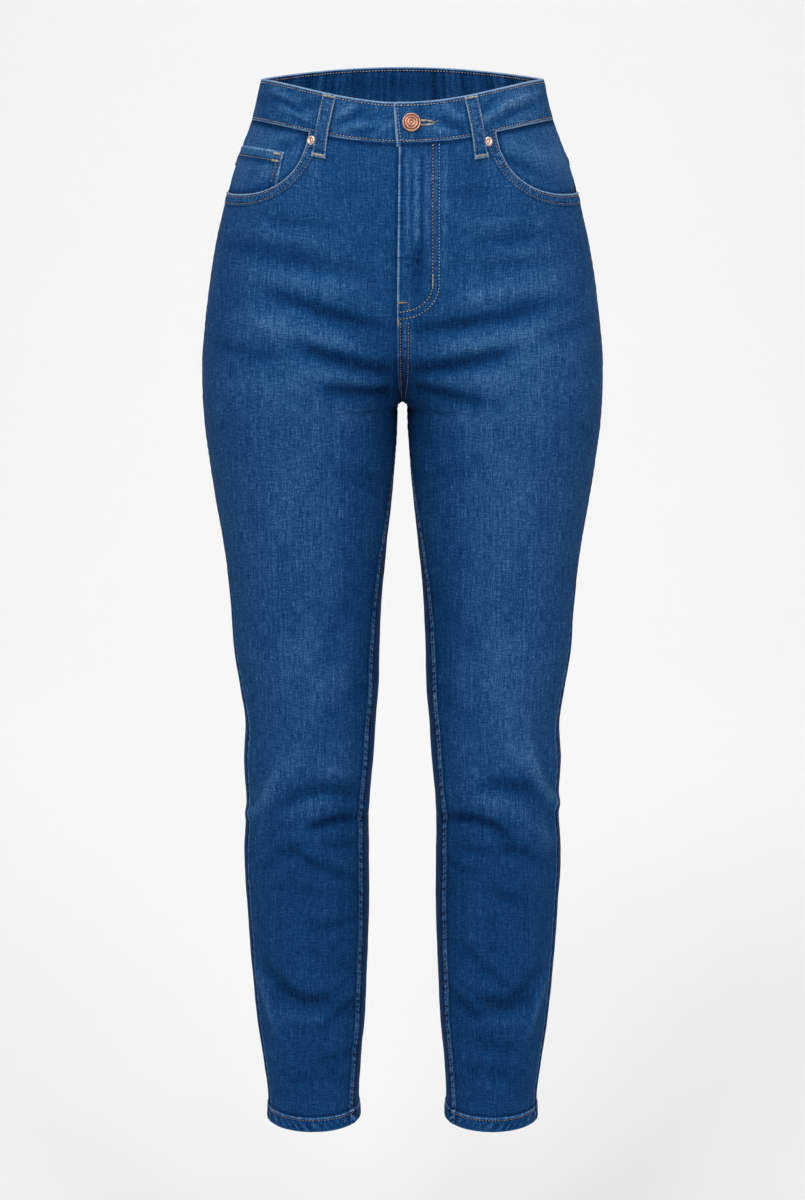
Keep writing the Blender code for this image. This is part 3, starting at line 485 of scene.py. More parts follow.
def flyRelief(fromMiddle, drop, above):
    # The lap on the wearer's left front: its stitched area, edge, slack bands and lower rows.
    lift = np.zeros(drop.shape)
    wearAndShade = np.zeros(drop.shape)
    edge = fromMiddle + lapWidth(drop)
    area = (smooth((flyStitch(1, drop) + 5 * mm - fromMiddle) / (4 * mm))
            * smooth((206 * mm - drop) / (8 * mm)))
    lift += fly["height"] * area * above
    lift += (fly["edgeHeight"] - fly["height"]) * smooth((5 * mm - edge) / (3 * mm)) * above
    lift -= 0.7 * mm * bell(edge, 0.5 * mm) * above
    for which in (0, 1):
        row = fromMiddle - flyStitch(which, drop)
        near = bell(row, 0.8 * mm) * area * smooth((199 * mm - drop) / (4 * mm))
        lift -= 0.34 * mm * near
        wearAndShade -= 0.34 * near
    row = pucker(drop, 5.6 * mm, 5.0)
    between = bell(fromMiddle - 29 * mm, 2.2 * mm) * area * smooth((176 * mm - drop) / (8 * mm))
    lift += 0.2 * mm * row * between
    wearAndShade += (0.02 + 0.18 * row) * between
    upper = smooth((drop - 42 * mm) / (14 * mm)) * smooth((140 * mm - drop) / (18 * mm))
    down = smooth((drop - 60 * mm) / (40 * mm)) * smooth((190 * mm - drop) / (50 * mm))
    for place, width, rise, paler in fly["bands"]:
        band = bell(fromMiddle - place * mm, width * mm)
        lift += rise * mm * band * down
        wearAndShade += paler * band * upper
    wearAndShade += 0.12 * bell(fromMiddle - 36.5 * mm, 2.4 * mm) * smooth((168 * mm - drop) / (20 * mm)) * above
    started = smooth((drop - 110 * mm) / (30 * mm)) * above
    wearAndShade += 0.14 * row * bell(fromMiddle - 3 * mm, 2.4 * mm) * started
    toneMarks = pucker(drop, 8 * mm, 6.0)
    tail = smooth((drop - 200 * mm) / (14 * mm))
    wearAndShade += (0.56 + 0.10 * toneMarks) * (1 - 0.55 * tail) * bell(edge - 0.7 * mm, 1.1 * mm) * above
    wearAndShade -= 0.24 * bell(edge - 3.2 * mm, 1.1 * mm) * above
    for place in fly["tailRows"]:
        near = bell(fromMiddle - place, 0.9 * mm) * above * tail
        lift -= 0.3 * mm * near
        wearAndShade -= 0.30 * near
    for place, width, level, height, paler in fly["spots"]:
        wearAndShade += paler * bell(fromMiddle - place * mm, width * mm) * bell(drop - level * mm, height * mm)
    wearAndShade -= 0.14 * bell(fromMiddle - 1.7 * mm, 5 * mm) * smooth((drop - 232 * mm) / (14 * mm)) * above
    return lift, wearAndShade


def frontRelief(side, fromMiddle, fromSide, drop):
    # Lift over the form, and wear with painted shade, for a point of a front panel.
    legs = smooth((drop - form["rise"] + 4 * mm) / (6 * mm))
    lift = np.zeros(drop.shape)
    wearAndShade = np.zeros(drop.shape)
    # side seam, pressed open
    gather = pucker(drop, seams["sidePitch"], 1.0 + side)
    low = smooth((drop - 440 * mm) / (80 * mm))
    lift += seams["sideHeight"] * smooth((9 * mm - fromSide) / (3 * mm)) - 0.9 * mm * bell(fromSide, 0.9 * mm)
    lift += seams["sidePucker"] * gather * bell(fromSide, 7 * mm)
    wearAndShade += ((0.10 + 0.24 * low + 0.14 * gather) * bell(fromSide - 2.4 * mm, 1.8 * mm)
             - 0.6 * bell(fromSide, 1.1 * mm))
    # inseam, felled towards the front and stitched
    strip = seams["inseamStrip"]
    wave = pucker(drop + fromMiddle * 0.5, seams["inseamPitch"], 2.0 + side)
    onStrip = smooth((strip + 1.6 * mm - fromMiddle) / (1.6 * mm)) * legs
    lift += onStrip * (seams["inseamHeight"] + seams["inseamPucker"] * wave * smooth(fromMiddle / (2 * mm)))
    lift -= legs * (1.1 * mm * bell(fromMiddle, 0.8 * mm) + 0.35 * mm * bell(fromMiddle - strip, 0.9 * mm))
    rungs = 0.24 * smooth((0.5 - wave) / 0.8) - 0.56 * smooth((wave - 0.15) / 0.45)
    wearAndShade += onStrip * rungs * smooth(fromMiddle / (1.6 * mm)) - legs * 0.5 * bell(fromMiddle, 0.9 * mm)
    wearAndShade += (legs
             * (0.34 * bell(fromMiddle - strip - 1.2 * mm, 1.1 * mm)
                - 0.18 * bell(fromMiddle - strip - 4 * mm, 2.2 * mm)))
    # below the band: gathers, and a painted shadow under the band's lower edge
    tuck = pucker(fromMiddle + 0.002, 9 * mm, 3.0)
    under = bell(drop - form["bandHeight"], 9 * mm)
    lift += 0.16 * mm * tuck * under
    wearAndShade += -0.36 * bell(drop - form["bandHeight"] - 1.0 * mm, 2.0 * mm) - 0.06 * under
    above = 1 - legs
    if side > 0:
        lapLift, lapWearAndShade = flyRelief(fromMiddle, drop, above)
        lift, wearAndShade = lift + lapLift, wearAndShade + lapWearAndShade
    else:
        lift -= 0.3 * mm * bell(fromMiddle, 8 * mm) * above
        # painted shadow of the lap's edge on the wearer's right front
        wearAndShade -= 0.28 * bell(fromMiddle - lapWidth(drop), 3.4 * mm) * above
    return lift, wearAndShade


def hemWear(along, drop, lift):
    # roping: slanted gathers and worn high spots
    top = form["outseam"] - form["hemHeight"]
    inHem = smooth((drop - top) / (1 * mm))
    wave = pucker(along + (drop - top) * 0.7, seams["hemPitch"], 0.7)
    wave = wave + 0.5 * pucker(along - (drop - top) * 0.3, seams["hemPitch"] * 0.53, 2.4)
    middle = bell(drop - top - 8 * mm, 5 * mm)
    lift = lift + seams["hemPucker"] * wave * middle * inHem
    lift = lift - 0.3 * mm * bell(drop - top - 2.0 * mm, 0.8 * mm)
    wearAndShade = inHem * (0.02 + 0.26 * wave * middle) + 0.20 * bell(drop - form["outseam"], 1.6 * mm)
    wearAndShade = wearAndShade + 0.55 * bell(drop - top - 0.2 * mm, 0.9 * mm) - 0.28 * bell(drop - top + 2.0 * mm, 1.6 * mm)
    return lift, wearAndShade - 0.36 * bell(drop - top - 2.2 * mm, 0.9 * mm)


def backRelief(side, fromMiddle, fromSide, drop):
    legs = smooth((drop - form["rise"] + 4 * mm) / (8 * mm))
    gather = pucker(drop, seams["sidePitch"], 1.6 + side)
    lift = seams["sideHeight"] * smooth((9 * mm - fromSide) / (3 * mm)) - 0.9 * mm * bell(fromSide, 0.9 * mm)
    lift = lift + seams["sidePucker"] * gather * bell(fromSide, 7 * mm)
    wearAndShade = (0.10 + 0.14 * gather) * bell(fromSide - 2 * mm, 3 * mm) - 0.5 * bell(fromSide, 0.9 * mm)
    lift = lift - legs * 1.1 * mm * bell(fromMiddle, 0.8 * mm)
    wave = pucker(drop, 7 * mm, 4.0 + side)
    lift = lift + legs * 0.18 * mm * wave * bell(fromMiddle, 5 * mm)
    wearAndShade = wearAndShade + legs * (0.10 * wave * bell(fromMiddle, 5 * mm) - 0.3 * bell(fromMiddle, 0.8 * mm))
    wearAndShade = wearAndShade - 0.20 * legs * (bell(fromMiddle, 14 * mm) + bell(fromSide, 15 * mm))
    # centre back seam, felled to the wearer's left
    above = 1 - legs
    lift = lift - 0.9 * mm * bell(fromMiddle, 0.7 * mm) * above
    wearAndShade = wearAndShade - 0.4 * bell(fromMiddle, 0.8 * mm) * above
    if side > 0:
        lift = lift + above * 0.75 * mm * smooth((11 * mm - fromMiddle) / (2 * mm))
        for row in seams["seatRows"]:
            lift = lift - above * 0.3 * mm * bell(fromMiddle - row, 0.9 * mm)
        lift = lift + above * 0.16 * mm * wave * bell(fromMiddle - 5 * mm, 4 * mm)
        wearAndShade = (wearAndShade + above
                * (0.12 * wave * bell(fromMiddle - 5 * mm, 4 * mm)
                   + 0.25 * bell(fromMiddle - 1.2 * mm, 1 * mm)))
    return lift, wearAndShade


# making cloth
def gradedShares(fine, count, edge):
    # Shares from 0 to 1, closer together at both ends.
    middle = np.linspace(edge, 1 - edge, count)
    ends = np.linspace(0, edge, fine + 1)[:-1]
    return np.concatenate([ends, middle, 1 - ends[::-1]])


def clothGrid(name, columns, rows, place, materials, thickness=0.0, closed=False, drop=None):
    # A create_grid sheet bent onto the form. place(columns, rows) gives points, outward
    # directions, wear with painted shade and painted light, and the place on the flat cloth, in metres.
    bm = bmesh.new()
    bmesh.ops.create_grid(bm, x_segments=len(columns) - 1, y_segments=len(rows) - 1, size=0.5)
    co = np.array([v.co for v in bm.verts])
    i = np.rint((co[:, 0] + 0.5) * (len(columns) - 1)).astype(int)
    j = np.rint((0.5 - co[:, 1]) * (len(rows) - 1)).astype(int)
    points, normal, wearAndShade, flat = place(np.asarray(columns)[i], np.asarray(rows)[j])
    mesh = bpy.data.meshes.new(name)
    bm.to_mesh(mesh)
    bm.free()
    mesh.vertices.foreach_set("co", points.astype(np.float32).ravel())
    mesh.update()
    corner = np.empty(len(mesh.loops), int)
    mesh.loops.foreach_get("vertex_index", corner)
    uv = mesh.uv_layers.new(name="cloth")
    uv.data.foreach_set("uv", flat[corner].astype(np.float32).ravel())
    # The attribute holds real wear and fades together with painted shade in creases, recesses and under
    # edges, and some painted light.
    toneMarks = mesh.attributes.new("wearAndShade", "FLOAT", "POINT")
    toneMarks.data.foreach_set("value", wearAndShade.astype(np.float32))
    if drop is not None:
        bm = bmesh.new()
        bm.from_mesh(mesh)
        bm.verts.ensure_lookup_table()
        gone = [bm.verts[k] for k in np.nonzero(drop(flat))[0]]
        bmesh.ops.delete(bm, geom=gone, context="VERTS")
        bm.to_mesh(mesh)
        bm.free()
    if closed:
        bm = bmesh.new()
        bm.from_mesh(mesh)
        bmesh.ops.remove_doubles(bm, verts=bm.verts, dist=0.002 * mm)
        bmesh.ops.recalc_face_normals(bm, faces=bm.faces)
        bm.to_mesh(mesh)
        bm.free()
    else:
        outward = {tuple(np.round(q, 6)): n for q, n in zip(points, normal)}
        turned = 0
        for index in range(0, len(mesh.polygons), max(1, len(mesh.polygons) // 100)):
            polygon = mesh.polygons[index]
            first = polygon.vertices[0]
            place = tuple(np.round(np.array(mesh.vertices[first].co), 6))
            away = normal[first] if drop is None else outward.get(place, (0, 0, 0))
            turned += polygon.normal.dot(Vector(away))
        if turned < 0:
            mesh.flip_normals()
    made = addObject(name, mesh, *materials)
    if thickness:
        wall = made.modifiers.new("thickness", "SOLIDIFY")
        wall.thickness = thickness
        wall.offset = -1
        wall.material_offset = 1 if len(materials) > 1 else 0
        wall.material_offset_rim = 0
    return made


def addObject(name, mesh, *materials):
    for material in materials:
        mesh.materials.append(material)
    mesh.shade_smooth()
    made = bpy.data.objects.new(name, mesh)
    bpy.context.scene.collection.objects.link(made)
    return made


def carry(piece, nodes):
    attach(piece, "root")
    if nodes:
        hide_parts(*nodes)
    return piece


# materials
def newMaterial(name):
    material = bpy.data.materials.new(name)
    material.use_nodes = True
    return material, material.node_tree, material.node_tree.nodes["Principled BSDF"]


def newGroup(name, inputs, outputs):
    group = bpy.data.node_groups.new(name, "ShaderNodeTree")
    for label, kind, value in inputs:
        socket = group.interface.new_socket(name=label, in_out="INPUT", socket_type=kind)
        socket.default_value = value
    for label, kind in outputs:
        group.interface.new_socket(name=label, in_out="OUTPUT", socket_type=kind)
    return group, group.nodes.new("NodeGroupInput"), group.nodes.new("NodeGroupOutput")


def addNode(tree, kind, values=None, **settings):
    node = tree.nodes.new(kind)
    for key, value in settings.items():
        setattr(node, key, value)
    for key, value in (values or {}).items():
        node.inputs[key].default_value = value
    return node


def mathNode(tree, operation, a, b=None, clamp=False):
    node = addNode(tree, "ShaderNodeMath", operation=operation, use_clamp=clamp)
    for index, value in enumerate((a, b)):
        if value is None:
            continue
        if isinstance(value, (int, float)):
            node.inputs[index].default_value = value
        else:
            tree.links.new(value, node.inputs[index])
    return node.outputs[0]


def mixColor(tree, factor, a, b):
    node = addNode(tree, "ShaderNodeMix", data_type="RGBA")
    tree.links.new(factor, node.inputs["Factor"])
    for value, key in ((a, 6), (b, 7)):
        if isinstance(value, tuple):
            node.inputs[key].default_value = value
        else:
            tree.links.new(value, node.inputs[key])
    return node.outputs[2]


def stretchedNoise(tree, vector, scale, size, detail=2.0, rough=0.5):
    mapping = addNode(tree, "ShaderNodeMapping", {"Scale": scale})
    tree.links.new(vector, mapping.inputs["Vector"])
    noise = addNode(tree, "ShaderNodeTexNoise", {"Scale": size, "Detail": detail, "Roughness": rough})
    tree.links.new(mapping.outputs["Vector"], noise.inputs["Vector"])
    return noise.outputs["Fac"]


def buildDenimGroup():
    t, into, out = newGroup(
        "denimTwill",
        [("WearAndShade", "NodeSocketFloat", 0.0), ("Level", "NodeSocketFloat", 0.5),
         ("Slub", "NodeSocketFloat", 1.0),
         ("Deep", "NodeSocketColor", (0.0004, 0.010, 0.048, 1)),
         ("Blue", "NodeSocketColor", (0.0060, 0.056, 0.178, 1)),
         ("Pale", "NodeSocketColor", (0.050, 0.152, 0.320, 1)),
         ("Bare", "NodeSocketColor", (0.30, 0.39, 0.51, 1))],
        [("Color", "NodeSocketColor"), ("Height", "NodeSocketFloat"), ("Roughness", "NodeSocketFloat")],
    )
    uv = addNode(t, "ShaderNodeUVMap", uv_map="cloth").outputs["UV"]
    warpSlub = stretchedNoise(t, uv, (1.0, 0.09, 1.0), 900, 2.0, 0.6)
    weftSlub = stretchedNoise(t, uv, (0.10, 1.0, 1.0), 960, 2.0, 0.6)
    longSlub = stretchedNoise(t, uv, (1.0, 0.02, 1.0), 420, 1.0, 0.5)
    mottle = stretchedNoise(t, uv, (1.0, 0.8, 1.0), 640, 3.0, 0.7)
    cloud = stretchedNoise(t, uv, (1.0, 0.55, 1.0), 34, 4.0, 0.6)
    turn = addNode(t, "ShaderNodeMapping", {"Rotation": (0, 0, math.radians(62))})
    t.links.new(uv, turn.inputs["Vector"])
    twill = addNode(t, "ShaderNodeTexWave",
                    {"Scale": 330.0, "Distortion": 0.6, "Detail": 1.0, "Detail Scale": 60.0})
    t.links.new(turn.outputs["Vector"], twill.inputs["Vector"])
    wale = twill.outputs["Fac"]
    # Level plus the attribute's wear, painted shade and painted light.
    value = mathNode(t, "ADD", into.outputs["Level"], into.outputs["WearAndShade"])
    weave = None
    for part, amount in ((warpSlub, 0.74), (weftSlub, 0.62), (longSlub, 0.26), (mottle, 0.92), (wale, 0.10)):
        one = mathNode(t, "MULTIPLY", mathNode(t, "SUBTRACT", part, 0.5), amount)
        weave = one if weave is None else mathNode(t, "ADD", weave, one)
    weave = mathNode(t, "MULTIPLY", weave, into.outputs["Slub"])
    value = mathNode(t, "ADD", value, weave)
    value = mathNode(t, "ADD", value, mathNode(t, "MULTIPLY", mathNode(t, "SUBTRACT", cloud, 0.5), 0.20),
                     clamp=True)
    low = mathNode(t, "MULTIPLY", value, 2.0, clamp=True)
    mid = mathNode(t, "MULTIPLY", mathNode(t, "SUBTRACT", value, 0.5), 2.8, clamp=True)
    high = mathNode(t, "MULTIPLY", mathNode(t, "SUBTRACT", value, 0.86), 4.5, clamp=True)
    color = mixColor(t, low, into.outputs["Deep"], into.outputs["Blue"])
    color = mixColor(t, mid, color, into.outputs["Pale"])
    color = mixColor(t, high, color, into.outputs["Bare"])
    t.links.new(color, out.inputs["Color"])
    height = mathNode(t, "ADD", mathNode(t, "MULTIPLY", wale, 0.5), mathNode(t, "MULTIPLY", warpSlub, 0.6))
    height = mathNode(t, "ADD", height, mathNode(t, "MULTIPLY", weftSlub, 0.6))
    t.links.new(height, out.inputs["Height"])
    rough = mathNode(t, "ADD", mathNode(t, "MULTIPLY", mottle, 0.16), 0.74)
    t.links.new(rough, out.inputs["Roughness"])
    return t


denimGroup = buildDenimGroup()


def denimMaterial(name, level=0.5, slub=1.0, colors=None):
    material, t, shader = newMaterial(name)
    cloth = addNode(t, "ShaderNodeGroup", node_tree=denimGroup)
    cloth.inputs["Level"].default_value = level
    cloth.inputs["Slub"].default_value = slub
    for key, value in (colors or {}).items():
        cloth.inputs[key].default_value = value
    # The attribute brings wear together with painted shade and painted light into the cloth's colour.
    toneMarks = addNode(t, "ShaderNodeAttribute", attribute_name="wearAndShade")
    t.links.new(toneMarks.outputs["Fac"], cloth.inputs["WearAndShade"])
    bump = addNode(t, "ShaderNodeBump", {"Strength": 0.35, "Distance": 0.0004})
    t.links.new(cloth.outputs["Height"], bump.inputs["Height"])
    t.links.new(cloth.outputs["Color"], shader.inputs["Base Color"])
    t.links.new(cloth.outputs["Roughness"], shader.inputs["Roughness"])
    t.links.new(bump.outputs["Normal"], shader.inputs["Normal"])
    shader.inputs["Specular IOR Level"].default_value = 0.05
    return material


denim = denimMaterial("washedDenim")
denimReverse = denimMaterial("denimReverse", 0.62, 0.8, {
    "Blue": (0.028, 0.075, 0.16, 1), "Pale": (0.11, 0.18, 0.29, 1), "Deep": (0.006, 0.024, 0.07, 1)})
denimFacing = denimMaterial("facingDenim", 0.56, 0.9)


def threadMaterial(name, dark, light):
    material, t, shader = newMaterial(name)
    where = addNode(t, "ShaderNodeTexCoord").outputs["Object"]
    tone = stretchedNoise(t, where, (1, 1, 1), 320, 2.0, 0.6)
    ramp = addNode(t, "ShaderNodeMapRange", {"From Min": 0.35, "From Max": 0.65})
    t.links.new(tone, ramp.inputs["Value"])
    t.links.new(mixColor(t, ramp.outputs["Result"], dark, light), shader.inputs["Base Color"])
    shader.inputs["Roughness"].default_value = 0.6
    return material


threadBrown = threadMaterial("brownThread", (0.12, 0.075, 0.05, 1), (0.44, 0.31, 0.20, 1))
threadTan = threadMaterial("tanThread", (0.22, 0.165, 0.105, 1), (0.60, 0.50, 0.35, 1))
threadOrange = threadMaterial("orangeThread", (0.27, 0.13, 0.05, 1), (0.50, 0.29, 0.13, 1))


def metalMaterial(name, color, toneMarks, dark):
    material, t, shader = newMaterial(name)
    where = addNode(t, "ShaderNodeTexCoord").outputs["Object"]
    tone = stretchedNoise(t, where, (1, 1, 1), 260, 4.0, 0.6)
    fine = stretchedNoise(t, where, (1, 1, 1), 900, 2.0, 0.5)
    point = addNode(t, "ShaderNodeNewGeometry").outputs["Pointiness"]
    edge = addNode(t, "ShaderNodeMapRange", {"From Min": 0.47, "From Max": 0.56})
    t.links.new(point, edge.inputs["Value"])
    base = mixColor(t, tone, dark, color)
    t.links.new(mixColor(t, edge.outputs["Result"], base, toneMarks), shader.inputs["Base Color"])
    rough = mathNode(t, "ADD", mathNode(t, "MULTIPLY", fine, 0.25), 0.26)
    t.links.new(rough, shader.inputs["Roughness"])
    bump = addNode(t, "ShaderNodeBump", {"Strength": 0.15, "Distance": 0.0001})
    t.links.new(fine, bump.inputs["Height"])
    t.links.new(bump.outputs["Normal"], shader.inputs["Normal"])
    shader.inputs["Metallic"].default_value = 0.9
    return material


copper = metalMaterial("agedCopper", (0.33, 0.135, 0.09, 1), (0.62, 0.33, 0.24, 1), (0.13, 0.05, 0.034, 1))
rivetCopper = metalMaterial("rivetCopper", (0.78, 0.46, 0.36, 1), (0.92, 0.68, 0.56, 1),
                            (0.55, 0.27, 0.19, 1))

# panels
panelGrid = {
    "frontColumns": gradedShares(7, 60, 0.065), "backColumns": gradedShares(7, 62, 0.05),
    # the wearer's left front is finer at the fly
    "flyColumns": np.concatenate([np.linspace(0, 0.105, 24)[:-1], np.linspace(0.105, 0.19, 26)[:-1],
                                  np.linspace(0.19, 0.935, 42)[:-1], np.linspace(0.935, 1, 8)]),
    "rowStep": 2.3 * mm, "flyStep": 1.2 * mm, "flyEnd": 206 * mm, "topDrop": 160 * mm,
    "frontTop": 35.4 * mm, "thickness": 1.15 * mm,
}
hemShape = {"out": 0.8 * mm, "inner": 2.0 * mm, "radius": 1.4 * mm}


def panelRows():
    # Rows as (share of the top part, whose edge is free, or 1; drop; lift; share turned inside).
    count = round((panelGrid["topDrop"] - panelGrid["frontTop"]) / panelGrid["rowStep"])
    rows = [(k / count, 0.0, 0.0, 0.0) for k in range(count)]
    hemTop = form["outseam"] - form["hemHeight"]
    close = np.arange(panelGrid["topDrop"], panelGrid["flyEnd"], panelGrid["flyStep"])
    long = round((hemTop - 2 * mm - panelGrid["flyEnd"]) / panelGrid["rowStep"])
    rows += [(1.0, d, 0.0, 0.0) for d in close]
    rows += [(1.0, d, 0.0, 0.0) for d in np.linspace(panelGrid["flyEnd"], hemTop - 2 * mm, long)]
    rows += [(1.0, hemTop + d * mm, 0.0, 0.0) for d in (-1.0, -0.3)]
    end = form["outseam"] - hemShape["radius"]
    rows += [(1.0, d, hemShape["out"], 0.0) for d in np.linspace(hemTop + 0.3 * mm, end, 13)]
    r = hemShape["radius"]
    for a in np.linspace(0, math.pi, 7)[1:]:
        rows.append((1.0, end + r * math.sin(a), hemShape["out"] - r * (1 - math.cos(a)), a / math.pi))
    rows += [(1.0, d, -hemShape["inner"], 1.0) for d in np.linspace(end, hemTop, 6)[1:]]
    return rows


rowTable = np.array(panelRows())


def panelPlace(side, back, topEdge):
    relief = backRelief if back else frontRelief

    def place(across, row):
        around = (1 + np.maximum(across, 1e-6)) if back else np.maximum(across, 0)
        free, drop, lift, inside = rowTable[row.astype(int)].T
        top = topEdge(around)
        drop = np.where(free < 1, top + (panelGrid["topDrop"] - top) * free, drop)
        atSeam = seamDrop(drop, back)
        drop = drop + (atSeam - drop) * (around - 1) ** 2
        spread = halfLength(atSeam, back) / halfLength(drop, back)
        around = 1 + (around - 1) * spread
        half = halfLength(drop, back)
        fromSide = np.abs(around - 1) * half
        fromMiddle = half - fromSide
        lap = np.zeros(drop.shape)
        if not back:
            legs = drop > fly["lapColumnsEnd"]
            lap = np.where((across < 0) & ~legs, -across * lapWidth(drop), 0)
            turned = np.where((across < 0) & legs, -across * 1.1 * mm, 0)
            fromMiddle = fromMiddle - lap
        extra, wearAndShade = relief(side, fromMiddle, fromSide, drop)
        lift, hemMarks = hemWear(fromMiddle, drop, lift)
        lift = lift + extra * (1 - inside)
        if not back:
            lift = lift - turned * (1 - inside)
        wearAndShade = wearAndShade + hemMarks
        mirrored = np.where(lap > 0, -side, side)
        around = np.where(lap > 0, lap / half, around)
        points, normal, bare, height = clothPoints(mirrored, around, drop, lift)
        wearAndShade = wearAndShade + fadeAndShadeAt(bare) + creaseShade(height, drop)
        return points, normal, wearAndShade, np.stack([fromGrain(fromSide, drop, back), drop], axis=-1)

    return place


def yokeSeam(around):
    return 76 * mm + 36 * mm * np.clip(around - 1, 0, 1)


def inMouth(flat):
    # Points of the front that the pocket's mouth leaves out.
    side = flat[:, 0] - fromGrain(0, flat[:, 1], False)
    return (mouthDistance(side, flat[:, 1]) < 0.6 * mm) & (flat[:, 1] < 0.11)


def makePanels():
    made = {}
    rows = np.arange(len(rowTable))
    for word, side in (("Left", 1), ("Right", -1)):
        lapColumns = np.array([-1, -0.85, -0.6, -0.3]) if side > 0 else np.array([])
        columns = np.concatenate([lapColumns, panelGrid["flyColumns" if side > 0 else "frontColumns"]])
        place = panelPlace(side, False, lambda around: np.full(around.shape, panelGrid["frontTop"]))
        front = clothGrid("front" + word, columns, rows, place, [denim, denimReverse],
                          panelGrid["thickness"], drop=inMouth)
        carry(front, ["front_" + word.lower()])
        place = panelPlace(side, True, lambda around: yokeSeam(around) - 2 * mm)
        back = clothGrid("back" + word, panelGrid["backColumns"], rows, place, [denim, denimReverse],
                         panelGrid["thickness"])
        carry(back, ["back_" + word.lower()])
        made["front" + word], made["back" + word] = front, back
    print("panels made")
    return made


pieces = makePanels()

# pocket mouths: the front's own folded edge
# distance from the mouth's edge, lift, and wear with painted shade: the turned layer inside the mouth and the
# step down onto the panel are painted darker as painted shade
mouthFold = {
    "profile": [
        (3.0, -1.3, -0.2), (1.6, -1.3, -0.1), (0.5, -1.15, 0.0), (-0.15, -0.75, 0.2), (-0.45, -0.2, 0.45),
        (-0.35, 0.35, 0.6), (0.1, 0.8, 0.66), (0.8, 1.0, 0.5), (1.5, 0.92, 0.06), (2.4, 0.55, -0.36),
        (3.3, 0.9, -0.02), (4.6, 1.0, 0.05), (6.0, 1.0, 0.06), (7.2, 0.92, 0.0), (8.3, 0.55, -0.36),
        (9.3, 0.72, 0.06), (10.2, 0.45, 0.0), (11.0, 0.05, -0.3), (12.0, -0.4, -0.22),
    ],
    "rows": (2.4 * mm, 8.3 * mm), "pitch": 5.5 * mm, "pucker": 0.18 * mm,
}


def mouthPlace(distance, run):
    # Distance from the side seam and drop, at this run along the mouth and off its edge.
    line = np.stack([np.interp(run, mouthRun, mouthLine[:, k]) for k in (0, 1)], axis=-1)
    off = np.stack([np.interp(run, mouthRun, mouthNormal[:, k]) for k in (0, 1)], axis=-1)
    found = line + off * distance[..., None]
    return np.maximum(found[..., 0], 0), found[..., 1]


def makeMouths():
    profile = np.array(mouthFold["profile"])
    fine = np.linspace(0, len(profile) - 1, 2 * len(profile) - 1)
    for word, side in (("Left", 1), ("Right", -1)):
        def place(along, row):
            step = fine[row.astype(int)]
            distance, lift, wearAndShade = (np.interp(step, np.arange(len(profile)), profile[:, k]) for k in range(3))
            run = along * mouthRun[-1]
            fromSide, drop = mouthPlace(distance * mm, run)
            wave = pucker(run + distance * 0.3 * mm, mouthFold["pitch"], 1.0 + side)
            middle = bell(distance - 5.4, 2.6)
            around = 1 - fromSide / halfLength(drop, False)
            lift = lift * mm + mouthFold["pucker"] * wave * middle
            points, normal, bare, height = clothPoints(side, around, drop, lift)
            wearAndShade = (wearAndShade + 0.15 * wave * middle + 0.10 * pucker(run, 9 * mm, 2.0) * bell(distance, 1.2)
                    + fadeAndShadeAt(bare))
            wearAndShade = wearAndShade + creaseShade(height, drop)
            return points, normal, wearAndShade, np.stack([run, distance * mm], axis=-1)

        hem = clothGrid("pocketMouth" + word, np.linspace(0, 1, 110), np.arange(len(fine)), place, [denim])
        carry(hem, [])
        pieces["pocketMouth" + word] = hem


makeMouths()

# hip pieces behind the mouths, and the coin pocket
facing = {"depth": 1.75 * mm, "from": 0.42, "bottom": 116 * mm, "thickness": 1.1 * mm}
coin = {"top": 56.5 * mm, "topX": 104 * mm, "bottomX": 112.5 * mm, "lift": 1.5 * mm, "hem": 9.5 * mm,
        "slanted": 34 * mm, "skew": 2.0 * mm}


def makeFacings():
    for word, side in (("Left", 1), ("Right", -1)):
        def place(across, down):
            around = facing["from"] + (1 - facing["from"]) * across
            drop = panelGrid["frontTop"] + (facing["bottom"] - panelGrid["frontTop"]) * down
            fromSide = (1 - around) * halfLength(drop, False)
            shade = mouthDistance(fromSide, drop)
            free = smooth((-1 * mm - shade) / (9 * mm))
            lift = -facing["depth"] * (1 - free * smooth((16 * mm - fromSide) / (14 * mm)))
            lift = (lift + free
                    * (0.35 * mm * smooth((9 * mm - fromSide) / (3 * mm))
                       - 0.5 * mm * bell(fromSide, 0.9 * mm)))
            lift = lift + 0.25 * mm * pucker(drop, 12 * mm, side) * bell(fromSide, 8 * mm)
            points, normal, _, height = clothPoints(side, around, drop, lift)
            # Painted shade on the hip piece within 7 mm of the pocket's mouth, under the front's edge, and a
            # painted shadow under the band.
            wearAndShade = (0.03 + 0.12 * pucker(drop, 12 * mm, side) * bell(fromSide, 6 * mm)
                    - 0.34 * smooth((shade + 7 * mm) / (7 * mm)))
            wearAndShade = (wearAndShade - 0.36 * bell(drop - 37.0 * mm, 2.4 * mm)
                    + 0.16 * bell(fromSide - 2 * mm, 2.5 * mm) - 0.3 * bell(fromSide, 0.7 * mm))
            wearAndShade = (wearAndShade + 0.12 * bell(np.hypot(fromSide - 30 * mm, drop - 68 * mm), 22 * mm)
                    + 1.6 * creaseShade(height, drop))
            return points, normal, wearAndShade, np.stack([(1 - across) * 0.11, drop], axis=-1)

        made = clothGrid("hipFacing" + word, np.linspace(0, 1, 46), np.linspace(0, 1, 34), place,
                         [denimFacing, denimReverse], facing["thickness"])
        carry(made, ["pocket_facing_" + word.lower()])
        pieces["hipFacing" + word] = made


def coinX(drop):
    return (coin["topX"]
            + (coin["bottomX"] - coin["topX"]) * np.clip((drop - coin["top"]) / coin["slanted"], 0, 1))


